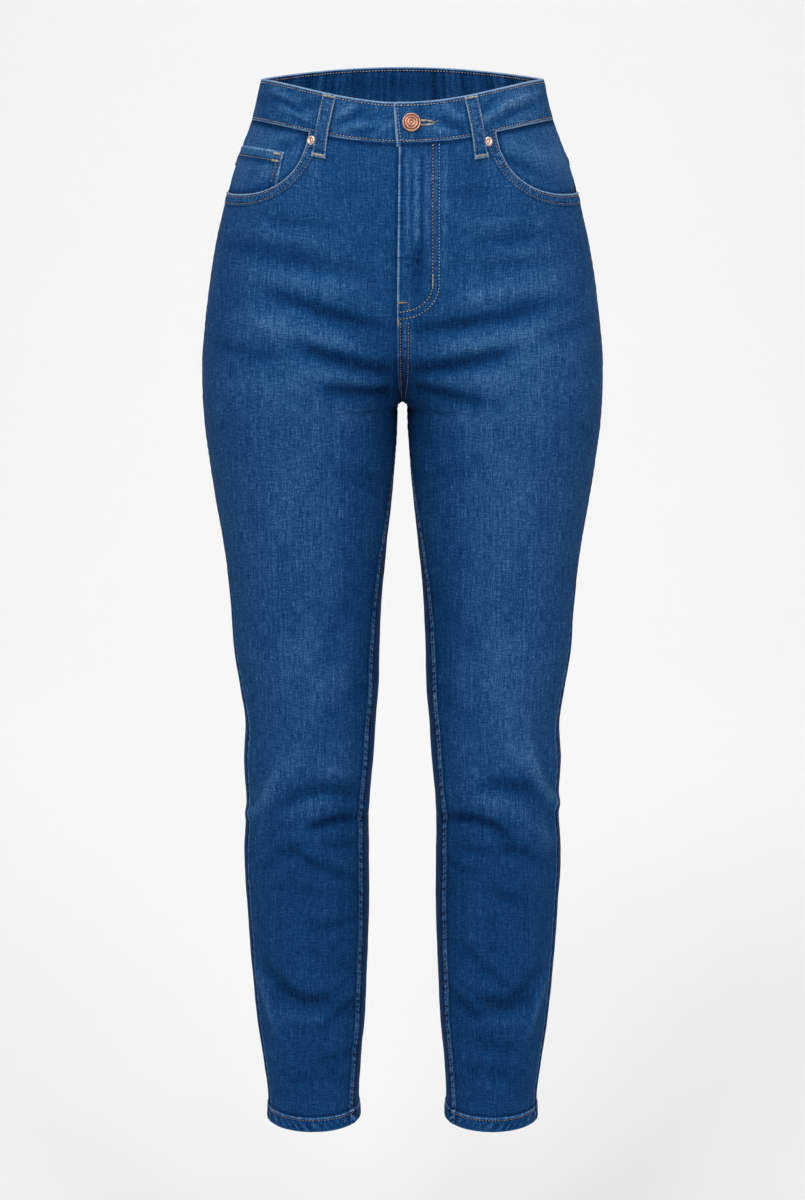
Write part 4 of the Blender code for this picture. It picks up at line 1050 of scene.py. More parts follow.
def coinPlace(across, down, lift):
    # across from the pocket's inner edge to the side seam, down from its top to the mouth.
    sideDrop = np.interp(0, mouthLine[::-1, 0], mouthLine[::-1, 1])
    top = coin["top"] + coin["skew"] * across
    guess = top + (sideDrop - top) * down
    for _ in range(3):
        start = coinInner(guess)
        around = start + (1 - start) * across
        fromSide = (1 - around) * halfLength(guess, False)
        order = np.argsort(mouthLine[:, 0])
        bottom = np.interp(fromSide, mouthLine[order, 0], mouthLine[order, 1]) - 0.25 * mm
        guess = top + (bottom - top) * down
    return clothPoints(-1, around, guess, lift), around, guess, fromSide, bottom


coinDrops = np.linspace(50 * mm, 100 * mm, 14)
coinStarts = [float(aroundAt(drop, coinX(drop))) for drop in coinDrops]


def coinInner(drop):
    return np.interp(drop, coinDrops, coinStarts)


def makeCoinPocket():
    def place(across, down):
        edgeAcross = across * 92 * mm
        base = coin["lift"] - facing["depth"]
        (points, normal, _, height), _, drop, _, bottom = coinPlace(across, down, base)
        fromTop = drop - coin["top"] - coin["skew"] * across
        lift = (0.7 * mm * smooth((coin["hem"] + 1 * mm - fromTop) / (1.5 * mm))
                - 0.9 * mm * bell(fromTop, 0.7 * mm))
        lift -= (0.9 * mm * bell(edgeAcross, 0.8 * mm)
                 + 0.3 * mm * bell(fromTop - coin["hem"] + 1.2 * mm, 0.8 * mm))
        lift += (0.35 * mm * bell(edgeAcross - 4 * mm, 2.5 * mm)
                 + 0.15 * mm * pucker(edgeAcross, 8 * mm, 1.0) * bell(fromTop - 5 * mm, 4 * mm))
        wearAndShade = 0.02 + 0.55 * bell(fromTop - 0.4 * mm, 0.9 * mm) + 0.50 * bell(edgeAcross - 0.6 * mm, 1.0 * mm)
        wearAndShade += (0.10 * bell(fromTop - 4 * mm, 3 * mm)
                 - 0.34 * bell(fromTop - coin["hem"] + 1.2 * mm, 0.9 * mm)
                 - 0.20 * bell(fromTop - coin["hem"] - 1.5 * mm, 1.4 * mm))
        wearAndShade -= 0.30 * (bell(edgeAcross - 2.2 * mm, 0.8 * mm) + bell(edgeAcross - 6.8 * mm, 0.8 * mm))
        # painted shade down into the pocket's mouth, within 7 mm of its bottom edge
        wearAndShade -= 0.34 * smooth((drop - bottom + 7 * mm) / (7 * mm)) - 0.06 * bell(edgeAcross - 4 * mm, 2 * mm)
        wearAndShade += (1.4 * creaseShade(height, drop)
                 + 0.10 * bell(edgeAcross - 18 * mm, 9 * mm) * bell(fromTop - 20 * mm, 9 * mm))
        return points + normal * lift[..., None], normal, wearAndShade, np.stack([edgeAcross, drop], axis=-1)

    made = clothGrid("coinPocket", gradedShares(7, 44, 0.08), np.linspace(0, 1, 32), place,
                     [denimFacing, denimReverse], 1.0 * mm)
    carry(made, ["coin_pocket"])
    pieces["coinPocket"] = made


makeFacings()
makeCoinPocket()
print("pockets made")

# waistband: one strip folded at its top edge, closed round its edges
band = {
    "thick": 2.6 * mm, "height": 36 * mm, "reach": 6.2 * mm, "underlap": 34 * mm, "corner": 4.5 * mm,
    "droop": 3.4 * mm, "columns": 500, "wallRows": 18, "nearRows": (1.3, 1.8, 2.4, 3.0, 3.6, 4.3, 5.2),
    "arcRows": 6, "rows": (3.0 * mm, 33.6 * mm), "endRadius": 1.3 * mm,
    "leanOut": -1.9 * mm, "leanIn": 1.3 * mm, "over": 0.7 * mm, "endRow": 3.6 * mm,
    "droopWidth": 9 * mm,
}


# Creases of the band: run from the centre, drop, length, width, slant, height.
# A run under nothing is on the wearer's right.
bandCreases = [
    (-118, 10, 20, 3.0, -6, 0.7), (-112, 17, 22, 3.0, -10, -0.8), (-100, 23, 20, 3.2, -14, 0.7),
    (-92, 29, 14, 2.6, -10, -0.6), (-84, 12, 13, 2.8, 20, -0.6), (-80, 20, 11, 2.6, 26, 0.5),
    (-50, 12, 12, 2.8, 40, 0.8), (-45, 17, 13, 2.8, 34, -0.8), (-38, 23, 15, 3.0, 20, 0.7),
    (-32, 28, 13, 2.6, 12, -0.6), (-22, 12, 10, 2.8, 36, -0.5), (-14, 22, 10, 2.8, 30, 0.5),
    (30, 26, 13, 2.8, -14, 0.6), (38, 20, 14, 2.8, -24, -0.7), (46, 13, 13, 2.8, -38, 0.7),
    (48, 27, 10, 2.6, -24, -0.6), (76, 13, 12, 2.8, 34, -0.7), (82, 20, 15, 3.0, 24, 0.7),
    (92, 26, 17, 3.0, 14, -0.7), (104, 14, 18, 3.0, 10, 0.6), (116, 22, 18, 3.2, 6, -0.7),
    (130, 12, 16, 3.2, 4, 0.5), (160, 16, 20, 4.0, 8, -0.5), (-150, 18, 20, 4.0, -8, -0.5),
    (230, 20, 22, 4.0, -10, 0.6), (290, 14, 20, 4.0, 12, -0.6), (-226, 16, 22, 4.0, 12, 0.6),
    (-296, 22, 20, 4.0, -12, -0.6),
]


def bandCreaseHeight(along, drop):
    run = (np.mod(along + bandLength / 2, bandLength) - bandLength / 2) / mm
    lift = np.zeros(run.shape)
    for atRun, atDrop, length, width, slant, height in bandCreases:
        dx, dz = run - atRun, atDrop - drop / mm
        c, s = math.cos(math.radians(slant)), math.sin(math.radians(slant))
        lift += height * mm * np.exp(-(((dx * c + dz * s) / length) ** 4) - ((dz * c - dx * s) / width) ** 2)
    return lift


bandLength = 2 * float(halfLength(band["height"] / 2, False) + halfLength(band["height"] / 2, True))


def bandSection():
    # Places round the band's cut: (share down from 0 to 1, depth from the outer face, inside).
    r = band["thick"] / 2
    h = band["height"]
    near = np.array(band["nearRows"]) * mm
    cut = [(d, 0.0, 0.0)
           for d in np.concatenate([near, np.linspace(near[-1], h - near[-1], 17)[1:-1], h - near[::-1]])]
    cut += [(h - r + r * math.sin(a), r - r * math.cos(a), 0.0)
            for a in np.linspace(0, math.pi, band["arcRows"] + 1)[1:]]
    cut += [(d, 2 * r, 1.0) for d in np.linspace(h - r, r, band["wallRows"] + 1)[1:]]
    cut += [(r - r * math.sin(a), r + r * math.cos(a), 0.0)
            for a in np.linspace(0, math.pi, band["arcRows"] + 1)[1:]]
    return np.array(cut)


def bandPlace(along, drop, depth):
    # A point of the band; along is the length from the centre front round the wearer's left.
    quarter, backQuarter = (halfLength(band["height"] / 2, back) for back in (False, True))
    place = np.where(along < quarter, along / quarter, 1 + (along - quarter) / backQuarter)
    far = 2 * backQuarter + quarter
    place = np.where(along > far, 3 + (along - far) / quarter, place)
    wrapped = np.mod(place, 4)
    side = np.where(wrapped <= 2, 1.0, -1.0)
    around = np.where(wrapped <= 2, wrapped, 4 - wrapped)
    return clothPoints(side, around, np.clip(drop, 0, None), -depth), place


def makeBand():
    section = bandSection()
    along = np.concatenate([
        np.linspace(-band["reach"], -band["reach"] + 3 * mm, 9)[:-1],
        np.linspace(-band["reach"] + 3 * mm, bandLength + band["underlap"], band["columns"]),
    ])

    def place(run, row):
        cut, depth, inside = section[row.astype(int)].T
        reach = run + band["reach"]
        # the tab's rounded upper corner and its drooping lower one
        c = band["corner"]
        rounding = np.where(reach < c, c - np.sqrt(np.clip(c * c - (c - reach) ** 2, 0, None)), 0)
        top = rounding * 0.9
        bottom = band["height"] + band["droop"] * bell(reach, band["droopWidth"])
        drop = top + (bottom - top) * cut / band["height"]
        share = cut / band["height"]
        slant = (band["leanOut"] * (1 - share) + band["leanIn"] * share) * bell(reach, 12 * mm)
        half = band["thick"] / 2
        nearest = np.minimum(reach, bandLength + band["underlap"] - run)
        squeeze = roundedEnd(nearest, band["endRadius"])
        outer = ((depth < half) & (inside < 0.5)) * squeeze
        depth = half + (depth - half) * squeeze
        sink = (band["thick"] + band["over"]) * smooth((run - bandLength + 42 * mm) / (28 * mm))
        wave = pucker(run, 7.5 * mm, 1.3)
        slow = pucker(run, 31 * mm, 0.4)
        upper = bell(cut - 4 * mm, 5 * mm)
        lower = bell(cut - 31 * mm, 5 * mm)
        lift = outer * (0.16 * mm * wave * (upper + lower) + 0.30 * mm * slow * bell(cut - 18 * mm, 10 * mm))
        soft = bandCreaseHeight(run, cut)
        lift = lift + outer * 1.25 * soft
        stitched = sum(bell(cut - row, 0.8 * mm) for row in band["rows"])
        lift = lift - outer * 0.3 * mm * stitched
        lift = lift - outer * 0.25 * mm * bell(reach - band["endRow"], 0.8 * mm)
        inner = (inside > 0.5) * squeeze
        lift = (lift - inner
                * (0.35 * mm * slow * bell(cut - 18 * mm, 12 * mm)
                   + 0.2 * mm * wave * bell(cut - 18 * mm, 14 * mm)))
        found, _ = bandPlace(run + slant, drop, depth + sink - band["over"])
        points, normal, _, height = found
        points = points + normal * lift[..., None]
        # The creases of the band and of the cloth under it are painted darker in their troughs as painted
        # shade and paler on their ridges as wear.
        wearAndShade = 0.05 * wave * (upper + lower) + 0.04 * slow + height / mm * 0.03 + outer * soft / mm * 0.26
        edge = np.where(inside > 0.5, 0.06, 0.62)
        wearAndShade = (wearAndShade + edge * bell(cut - 0.3 * mm, 1.2 * mm)
                + 0.48 * bell(cut - band["height"] + 0.5 * mm, 1.0 * mm) * (inside < 0.5))
        wearAndShade = wearAndShade - 0.36 * stitched
        wearAndShade = (wearAndShade + 0.52 * bell(reach - 0.8 * mm, 1.6 * mm) * (inside < 0.5)
                - 0.32 * bell(reach - 3.7 * mm, 0.9 * mm) * outer)
        wearAndShade = wearAndShade + outer * (0.04 + 0.12 * bell(np.mod(run, bandLength) - 112 * mm, 30 * mm)) + 0.03 * inner
        # Painted shade inside the band, darker still at the centre back.
        wearAndShade = wearAndShade + np.where(inside > 0.5, -0.11 + 0.11 * wave + 0.10 * slow, 0)
        wearAndShade = (wearAndShade - 0.14 * (inside > 0.5) * bell(cut - 14 * mm, 9 * mm)
                * bell(run - bandLength / 2, 70 * mm))
        return points, normal, wearAndShade, np.stack([run, np.where(inside > 0.5, 0.08 - cut, cut)], axis=-1)

    made = clothGrid("waistBand", along, np.arange(len(section)), place, [denim], closed=True)
    carry(made, ["waistband"])
    pieces["waistBand"] = made


makeBand()
print("waistband made, {:.0f} mm round".format(bandLength / mm))

# yokes and back pockets
yoke = {"over": 1.0 * mm, "rows": (2.4 * mm, 8.6 * mm)}
pocket = {
    "middle": 92 * mm, "top": 126 * mm, "slope": 5 * mm, "wide": 132 * mm, "narrow": 112 * mm,
    "side": 122 * mm, "point": 146 * mm, "hem": 15 * mm, "rows": (1.8 * mm, 7.6 * mm), "lift": 1.5 * mm,
}


def makeYokes():
    for word, side in (("Left", 1), ("Right", -1)):
        def place(across, down):
            around = 1 + np.maximum(across, 1e-6)
            drop = panelGrid["frontTop"] + (yokeSeam(around) + yoke["over"] - panelGrid["frontTop"]) * down
            half = halfLength(drop, True)
            fromSide, fromMiddle = (around - 1) * half, (2 - around) * half
            below = yokeSeam(around) + yoke["over"] - drop
            lift, wearAndShade = backRelief(side, fromMiddle, fromSide, drop)
            fold = 1.1 * mm * smooth((12 * mm - below) / (3 * mm)) - 1.2 * mm * bell(below, 0.7 * mm)
            wave = pucker(fromMiddle, 8 * mm, 3.0 + side)
            for row in yoke["rows"]:
                fold = fold - 0.3 * mm * bell(below - row, 0.9 * mm)
            fold = fold + 0.2 * mm * wave * bell(below - 5.5 * mm, 4 * mm)
            wearAndShade = (wearAndShade + 0.34 * bell(below - 0.5 * mm, 1.0 * mm)
                    + 0.10 * wave * bell(below - 5.5 * mm, 4 * mm))
            # painted shadow under the band
            wearAndShade = wearAndShade - 0.2 * bell(drop - 37.5 * mm, 2.5 * mm)
            points, normal, bare, _ = clothPoints(side, around, drop, lift + fold)
            return points, normal, wearAndShade + fadeAndShadeAt(bare), np.stack([fromMiddle, drop], axis=-1)

        made = clothGrid("yoke" + word, gradedShares(6, 64, 0.05),
                         np.concatenate([np.linspace(0, 0.8, 16)[:-1], np.linspace(0.8, 1, 16)]), place,
                         [denim, denimReverse], 1.1 * mm)
        carry(made, ["yoke_" + word.lower()])
        pieces["yoke" + word] = made


def pocketHeight(across):
    return pocket["point"] + (pocket["side"] - pocket["point"]) * np.abs(2 * across - 1)


def pocketWidth(down):
    return pocket["wide"] + (pocket["narrow"] - pocket["wide"]) * down


def pocketPlace(side, across, down, lift):
    # across from the centre-back edge's far side: 0 is the outer edge, 1 the inner one.
    height, width = pocketHeight(across), pocketWidth(down)
    drop = pocket["top"] + pocket["slope"] * (1 - across) + height * down
    inward = pocket["middle"] + width * (0.5 - across)
    around = 2 - inward / halfLength(drop, True)
    return clothPoints(side, around, drop, lift), drop, height, width


def makeBackPockets():
    for word, side in (("Left", 1), ("Right", -1)):
        def place(across, down):
            _, drop, height, width = pocketPlace(side, across, down, 0 * across)
            fromSides = np.minimum(across, 1 - across) * width
            fromTop, fromBottom = down * height, (1 - down) * height
            fromEdge = np.minimum(fromSides, fromBottom)
            wave = pucker(drop + across * width, 7 * mm, 1.0 + side)
            lift = (pocket["lift"] + 0.25 * mm * smooth((9 * mm - fromEdge) / (2 * mm))
                    - 1.2 * mm * bell(fromEdge, 0.7 * mm))
            lift = (lift + 0.6 * mm * smooth((pocket["hem"] + 1 * mm - fromTop) / (1.5 * mm))
                    - 0.6 * mm * bell(fromTop, 0.6 * mm))
            for row in pocket["rows"]:
                lift = lift - 0.26 * mm * bell(fromEdge - row, 0.9 * mm)
            lift = (lift - 0.3 * mm * bell(fromTop - pocket["hem"] + 1.5 * mm, 0.9 * mm)
                    + 0.16 * mm * wave * bell(fromEdge - 4.6 * mm, 3 * mm))
            lift = lift + 0.5 * mm * smooth(fromEdge / (40 * mm))
            wearAndShade = (0.06 + 0.30 * bell(fromEdge - 0.5 * mm, 1.0 * mm)
                    + 0.34 * bell(fromTop - 0.4 * mm, 1.0 * mm))
            wearAndShade = (wearAndShade + 0.09 * wave * bell(fromEdge - 4.6 * mm, 3 * mm)
                    - 0.14 * bell(fromTop - pocket["hem"] - 1.5 * mm, 1.5 * mm))
            wearAndShade = wearAndShade + 0.05 * smooth(fromEdge / (30 * mm))
            (points, normal, bare, _), *_ = pocketPlace(side, across, down, lift)
            return points, normal, wearAndShade + fadeAndShadeAt(bare) * 0.6, np.stack([across * width, drop], axis=-1)

        made = clothGrid("backPocket" + word, gradedShares(8, 44, 0.09), gradedShares(8, 46, 0.09), place,
                         [denim, denimReverse], 1.1 * mm)
        carry(made, ["back_pocket_" + word.lower()])
        pieces["backPocket" + word] = made


makeYokes()
makeBackPockets()
print("yokes and back pockets made")

# belt loops
loops = {
    "width": 11.0 * mm, "thick": 1.8 * mm, "top": 1.0 * mm, "bottom": 56 * mm, "slack": 2.2 * mm,
    "row": 3.4 * mm, "endRadius": 0.8 * mm,
    "places": [  # name, node, side, back, top x, bottom x
        ("loopFrontLeft", "belt_loop_front_left", 1, False, 58.5, 68.5),
        ("loopFrontRight", "belt_loop_front_right", -1, False, 62.5, 73.0),
        ("loopBackLeft", "belt_loop_back_left", 1, True, 82, 89),
        ("loopBackRight", "belt_loop_back_right", -1, True, 82, 89),
        ("loopBackCentre", "belt_loop_back_centre", 1, True, 0, 0),
    ],
}


def loopCenter(side, back, topX, bottomX):
    # A function giving loop points for (shift across, share down, lift over the cloth).
    shares = np.linspace(0, 1, 24)
    drops = loops["top"] + (loops["bottom"] - loops["top"]) * shares
    offsets = np.linspace(-7 * mm, 7 * mm, 9)
    table = np.array([
        aroundAt(d, np.maximum(np.abs((topX + (bottomX - topX) * s) * mm + offsets), 0.01 * mm), back)
        for s, d in zip(shares, drops)
    ])

    def point(shift, down, lift):
        i = np.clip(down * 23, 0, 22.999)
        j = np.clip((shift - offsets[0]) / (offsets[1] - offsets[0]), 0, 7.999)
        i0, j0 = i.astype(int), j.astype(int)
        fi, fj = i - i0, j - j0
        around = (table[i0, j0] * (1 - fi) * (1 - fj) + table[i0 + 1, j0] * fi * (1 - fj)
                  + table[i0, j0 + 1] * (1 - fi) * fj + table[i0 + 1, j0 + 1] * fi * fj)
        drop = loops["top"] + (loops["bottom"] - loops["top"]) * down
        sides = np.full(drop.shape, float(side))
        if topX == 0:
            sides = np.where(shift < 0, -1.0, 1.0)
        return clothPoints(sides, around, drop, lift), drop

    return point


def loopLift(down):
    drop = loops["top"] + (loops["bottom"] - loops["top"]) * down
    seat = 0.7 * mm * (1 - smooth((drop - form["bandHeight"] - 2 * mm) / (8 * mm)))
    return seat + 0.35 * mm + loops["slack"] * np.sin(np.pi * np.clip((down - 0.05) / 0.86, 0, 1)) ** 0.8


loopPoints = {}


def makeLoops():
    half, thick = loops["width"] / 2, loops["thick"]
    r = 0.75 * mm
    cut = [(x, thick) for x in np.linspace(-half + r, half - r, 19)]
    cut += [(half - r + r * math.sin(a), thick - r + r * math.cos(a))
            for a in np.linspace(0, math.pi / 2, 4)[1:]]
    cut += [(half, thick * 0.45)]
    cut += [(half - r + r * math.cos(a), r - r * math.sin(a)) for a in np.linspace(0, math.pi / 2, 4)]
    cut += [(x, 0.0) for x in np.linspace(half - r, -half + r, 19)[1:]]
    cut += [(-half + r - r * math.sin(a), r - r * math.cos(a)) for a in np.linspace(0, math.pi / 2, 4)[1:]]
    cut += [(-half, thick * 0.55)]
    cut += [(-half + r - r * math.cos(a), thick - r + r * math.sin(a))
            for a in np.linspace(0, math.pi / 2, 4)]
    cut = np.array(cut)
    downs = np.concatenate([[0, 0.004, 0.012], np.linspace(0.025, 0.975, 44), [0.988, 0.996, 1.0]])
    for name, node, side, back, topX, bottomX in loops["places"]:
        point = loopCenter(side, back, topX, bottomX)
        loopPoints[name] = point

        def place(row, down):
            shift, high = cut[row.astype(int)].T
            end = np.minimum(down, 1 - down) * (loops["bottom"] - loops["top"])
            squeeze = roundedEnd(end, loops["endRadius"])
            high = thick / 2 + (high - thick / 2) * squeeze
            outer = (high > thick * 0.6) * squeeze
            wave = pucker(down * 55 * mm, 6 * mm, topX)
            foot = smooth((down - 0.90) / 0.02)  # the turned-under end
            shift = shift * (1 + 0.16 * foot)
            high = high + outer * (0.8 * mm * foot + 0.5 * mm * (1 - smooth((down - 0.05) / 0.02)))
            high = (high - outer * 0.25 * mm * (bell(np.abs(shift) - loops["row"], 0.6 * mm))
                    + outer * 0.12 * mm * wave)
            high = high - outer * 0.5 * mm * bell(down - 0.905, 0.012)
            (points, normal, _, _), drop = point(shift, down, loopLift(down) + high)
            wearAndShade = (0.08 + 0.46 * bell(np.abs(shift) - half + 0.4 * mm, 0.9 * mm)
                    - 0.34 * bell(np.abs(shift) - loops["row"], 0.7 * mm))
            wearAndShade = (wearAndShade + 0.14 * wave * bell(shift, 2 * mm) + 0.40 * bell(end, 1.2 * mm) + 0.10 * foot
                    - 0.35 * bell(down - 0.905, 0.014))
            return points, normal, wearAndShade, np.stack([shift + half, drop], axis=-1)

        made = clothGrid(name, np.arange(len(cut)), downs, place, [denim], closed=True)
        carry(made, [node])
        pieces[name] = made


makeLoops()
print("belt loops made")

# metal
metal = {"buttonX": 7.6 * mm, "buttonDrop": 18 * mm, "buttonRadius": 8.2 * mm,
         "rivetX": (-79.3 * mm, 74.5 * mm), "rivetDrop": 42.5 * mm, "rivetRadius": 4.0 * mm}


def frontSpot(x, drop, lift=0.0):
    side = 1.0 if x > 0 else -1.0
    points, normal, _, _ = clothPoints(side, aroundAt(drop, abs(x)), np.array(drop), np.array(lift))
    return Vector(points), Vector(normal)


def turnedPiece(name, profile, spot, axis, material, node, steps=48):
    bm = bmesh.new()
    verts = [bm.verts.new((r, 0, h)) for r, h in profile]
    edges = [bm.edges.new(pair) for pair in zip(verts, verts[1:])]
    bmesh.ops.spin(bm, geom=verts + edges, cent=(0, 0, 0), axis=(0, 0, 1), dvec=(0, 0, 0),
                   angle=2 * math.pi, steps=steps, use_merge=True)
    bmesh.ops.remove_doubles(bm, verts=bm.verts, dist=0.005 * mm)
    bmesh.ops.recalc_face_normals(bm, faces=bm.faces)
    turn = axis.to_track_quat("Z", "Y").to_matrix().to_4x4()
    bmesh.ops.transform(bm, matrix=Matrix.Translation(spot) @ turn, verts=bm.verts)
    mesh = bpy.data.meshes.new(name)
    bm.to_mesh(mesh)
    bm.free()
    made = addObject(name, mesh, material)
    mesh.set_sharp_from_angle(angle=math.radians(50))
    return carry(made, [node])


def makeMetal():
    r = metal["buttonRadius"]
    up = 1.1 * mm
    # Radius share, height in mm: a dished face with turned rings.
    shape = [
        (0, 2.35), (0.10, 2.3), (0.14, 2.02), (0.20, 1.98), (0.25, 2.28), (0.33, 2.34),
        (0.40, 2.26), (0.44, 1.98), (0.50, 1.95), (0.55, 2.2), (0.62, 2.24), (0.68, 2.12),
        (0.71, 1.9), (0.76, 1.9), (0.80, 2.3), (0.86, 2.6), (0.92, 2.62), (0.97, 2.3),
        (1.0, 1.7), (0.995, 1.1), (0.95, 0.6), (0.86, 0.35), (0.3, 0.3), (0.25, -3.4),
        (0, -3.4),
    ]
    spot, normal = frontSpot(metal["buttonX"], metal["buttonDrop"])
    turnedPiece("shankButton", [(a * r, h * mm + up) for a, h in shape], spot, normal, copper, "button", 56)
    cap = [
        (0, -1.4), (0.10, -1.4), (0.15, 0.5), (0.19, 0.82), (0.27, 0.74), (0.36, 0.66), (0.46, 0.8),
        (0.6, 1.12), (0.75, 1.2), (0.9, 0.95), (1.0, 0.5), (0.98, 0.1), (0.9, -0.2), (0, -0.2),
    ]
    for word, x, lift in (("Right", metal["rivetX"][0], 0.85), ("Left", metal["rivetX"][1], 0.85)):
        spot, normal = frontSpot(x, metal["rivetDrop"])
        profile = [(a * metal["rivetRadius"], (h + lift) * mm) for a, h in cap]
        turnedPiece("rivet" + word, profile, spot, normal, rivetCopper, "rivet_" + word.lower(), 36)


makeMetal()

# sewing
thread = {"pitch": 3.1 * mm, "gap": 0.34, "wide": 0.78 * mm, "high": 0.5 * mm}
bpy.context.view_layer.update()
depsgraph = bpy.context.evaluated_depsgraph_get()
trees = {name: BVHTree.FromObject(piece, depsgraph) for name, piece in pieces.items()}


def seat(hosts, point, normal):
    # The cloth's outermost point under or over this one.
    best = None
    for host in hosts:
        hit = trees[host].ray_cast(point + normal * 6 * mm, -normal, 12 * mm)
        if hit[0] is not None and (best is None or hit[3] < best[3]):
            best = hit
    return best[0] if best else None


def oneStitch(sewn, a, b, normal, wide, high):
    # Notes one stitch from a to b as its axes and its middle.
    along = b - a
    if along.length < 1e-5:
        return
    across = normal.cross(along).normalized()
    up = along.cross(across).normalized()
    sewn.append((across * wide, up * high, along, (a + b) / 2 + up * high * 0.22))


def sewRow(sewn, hosts, points, normals, pitch=None, wide=None, high=None):
    # Stitches end to end along points on the form, seated on the cloth.
    points, normals = np.asarray(points), np.asarray(normals)
    run = np.concatenate([[0], np.cumsum(np.linalg.norm(np.diff(points, axis=0), axis=1))])
    count = max(1, round(run[-1] / (pitch or thread["pitch"])))
    stations = np.linspace(0, run[-1], count + 1)
    at = np.stack([np.interp(stations, run, points[:, k]) for k in range(3)], axis=1)
    out = np.stack([np.interp(stations, run, normals[:, k]) for k in range(3)], axis=1)
    seats = [seat(hosts, Vector(p), Vector(n).normalized()) for p, n in zip(at, out)]
    for k in range(count):
        a, b = seats[k], seats[k + 1]
        if a is None or b is None or (a - b).length > 2.2 * (run[-1] / count):
            continue
        trim = (b - a) * thread["gap"] / 2
        oneStitch(sewn, a + trim, b - trim, Vector(out[k]), wide or thread["wide"], high or thread["high"])


def barTack(sewn, hosts, start, end, normal, wide=1.9 * mm, pitch=0.62 * mm):
    # Close zigzag stitches across the line from start to end.
    along = end - start
    across = normal.cross(along).normalized() * wide / 2
    count = max(2, round(along.length / pitch))
    for k in range(count + 1):
        spot = start + along * k / count
        lean = along.normalized() * pitch * 0.35 * (1 if k % 2 else -1)
        a, b = seat(hosts, spot - across - lean, normal), seat(hosts, spot + across + lean, normal)
        if a and b:
            up = normal * 0.12 * mm
            oneStitch(sewn, a + up, b + up, normal, 0.66 * mm, 0.6 * mm)


def threadPiece(name, sewn, material):
    # One round stitch, doubled until there are enough, each then laid on its own axes.
    step = 2.0
    bm = bmesh.new()
    bmesh.ops.create_uvsphere(bm, u_segments=6, v_segments=4, radius=0.5)
    count = 1
    while count < len(sewn):
        more = min(count, len(sewn) - count)
        held = [v for v in bm.verts if v.co.x < (more - 0.5) * step]
        faces = [f for f in bm.faces if f.verts[0].co.x < (more - 0.5) * step]
        made = bmesh.ops.duplicate(bm, geom=held + faces)["geom"]
        moved = [g for g in made if isinstance(g, bmesh.types.BMVert)]
        bmesh.ops.translate(bm, vec=(count * step, 0, 0), verts=moved)
        count += more
    mesh = bpy.data.meshes.new(name)
    bm.to_mesh(mesh)
    bm.free()
    co = np.empty(len(mesh.vertices) * 3, np.float32)
    mesh.vertices.foreach_get("co", co)
    co = co.reshape(-1, 3).astype(float)
    which = np.rint(co[:, 0] / step).astype(int)
    co[:, 0] -= which * step
    axes = np.array(sewn)[which]
    placed = axes[:, 3] + sum(axes[:, k] * co[:, k:k + 1] for k in range(3))
    mesh.vertices.foreach_set("co", placed.astype(np.float32).ravel())
    mesh.update()
    pieces[name] = carry(addObject(name, mesh, material), [])


def frontLine(side, fromMiddle, drop):
    # Points on the front at lengths from the middle; under nothing is past it.
    fromMiddle, drop = np.broadcast_arrays(np.asarray(fromMiddle, float), np.asarray(drop, float))
    half = halfLength(drop, False)
    points, normal, _, _ = clothPoints(np.where(fromMiddle < 0, -side, side), np.abs(fromMiddle) / half,
                                       drop, 0 * drop)
    return points, normal


def backLine(side, fromMiddle, drop):
    fromMiddle, drop = np.broadcast_arrays(np.asarray(fromMiddle, float), np.asarray(drop, float))
    points, normal, _, _ = clothPoints(float(side), 2 - fromMiddle / halfLength(drop, True), drop, 0 * drop)
    return points, normal


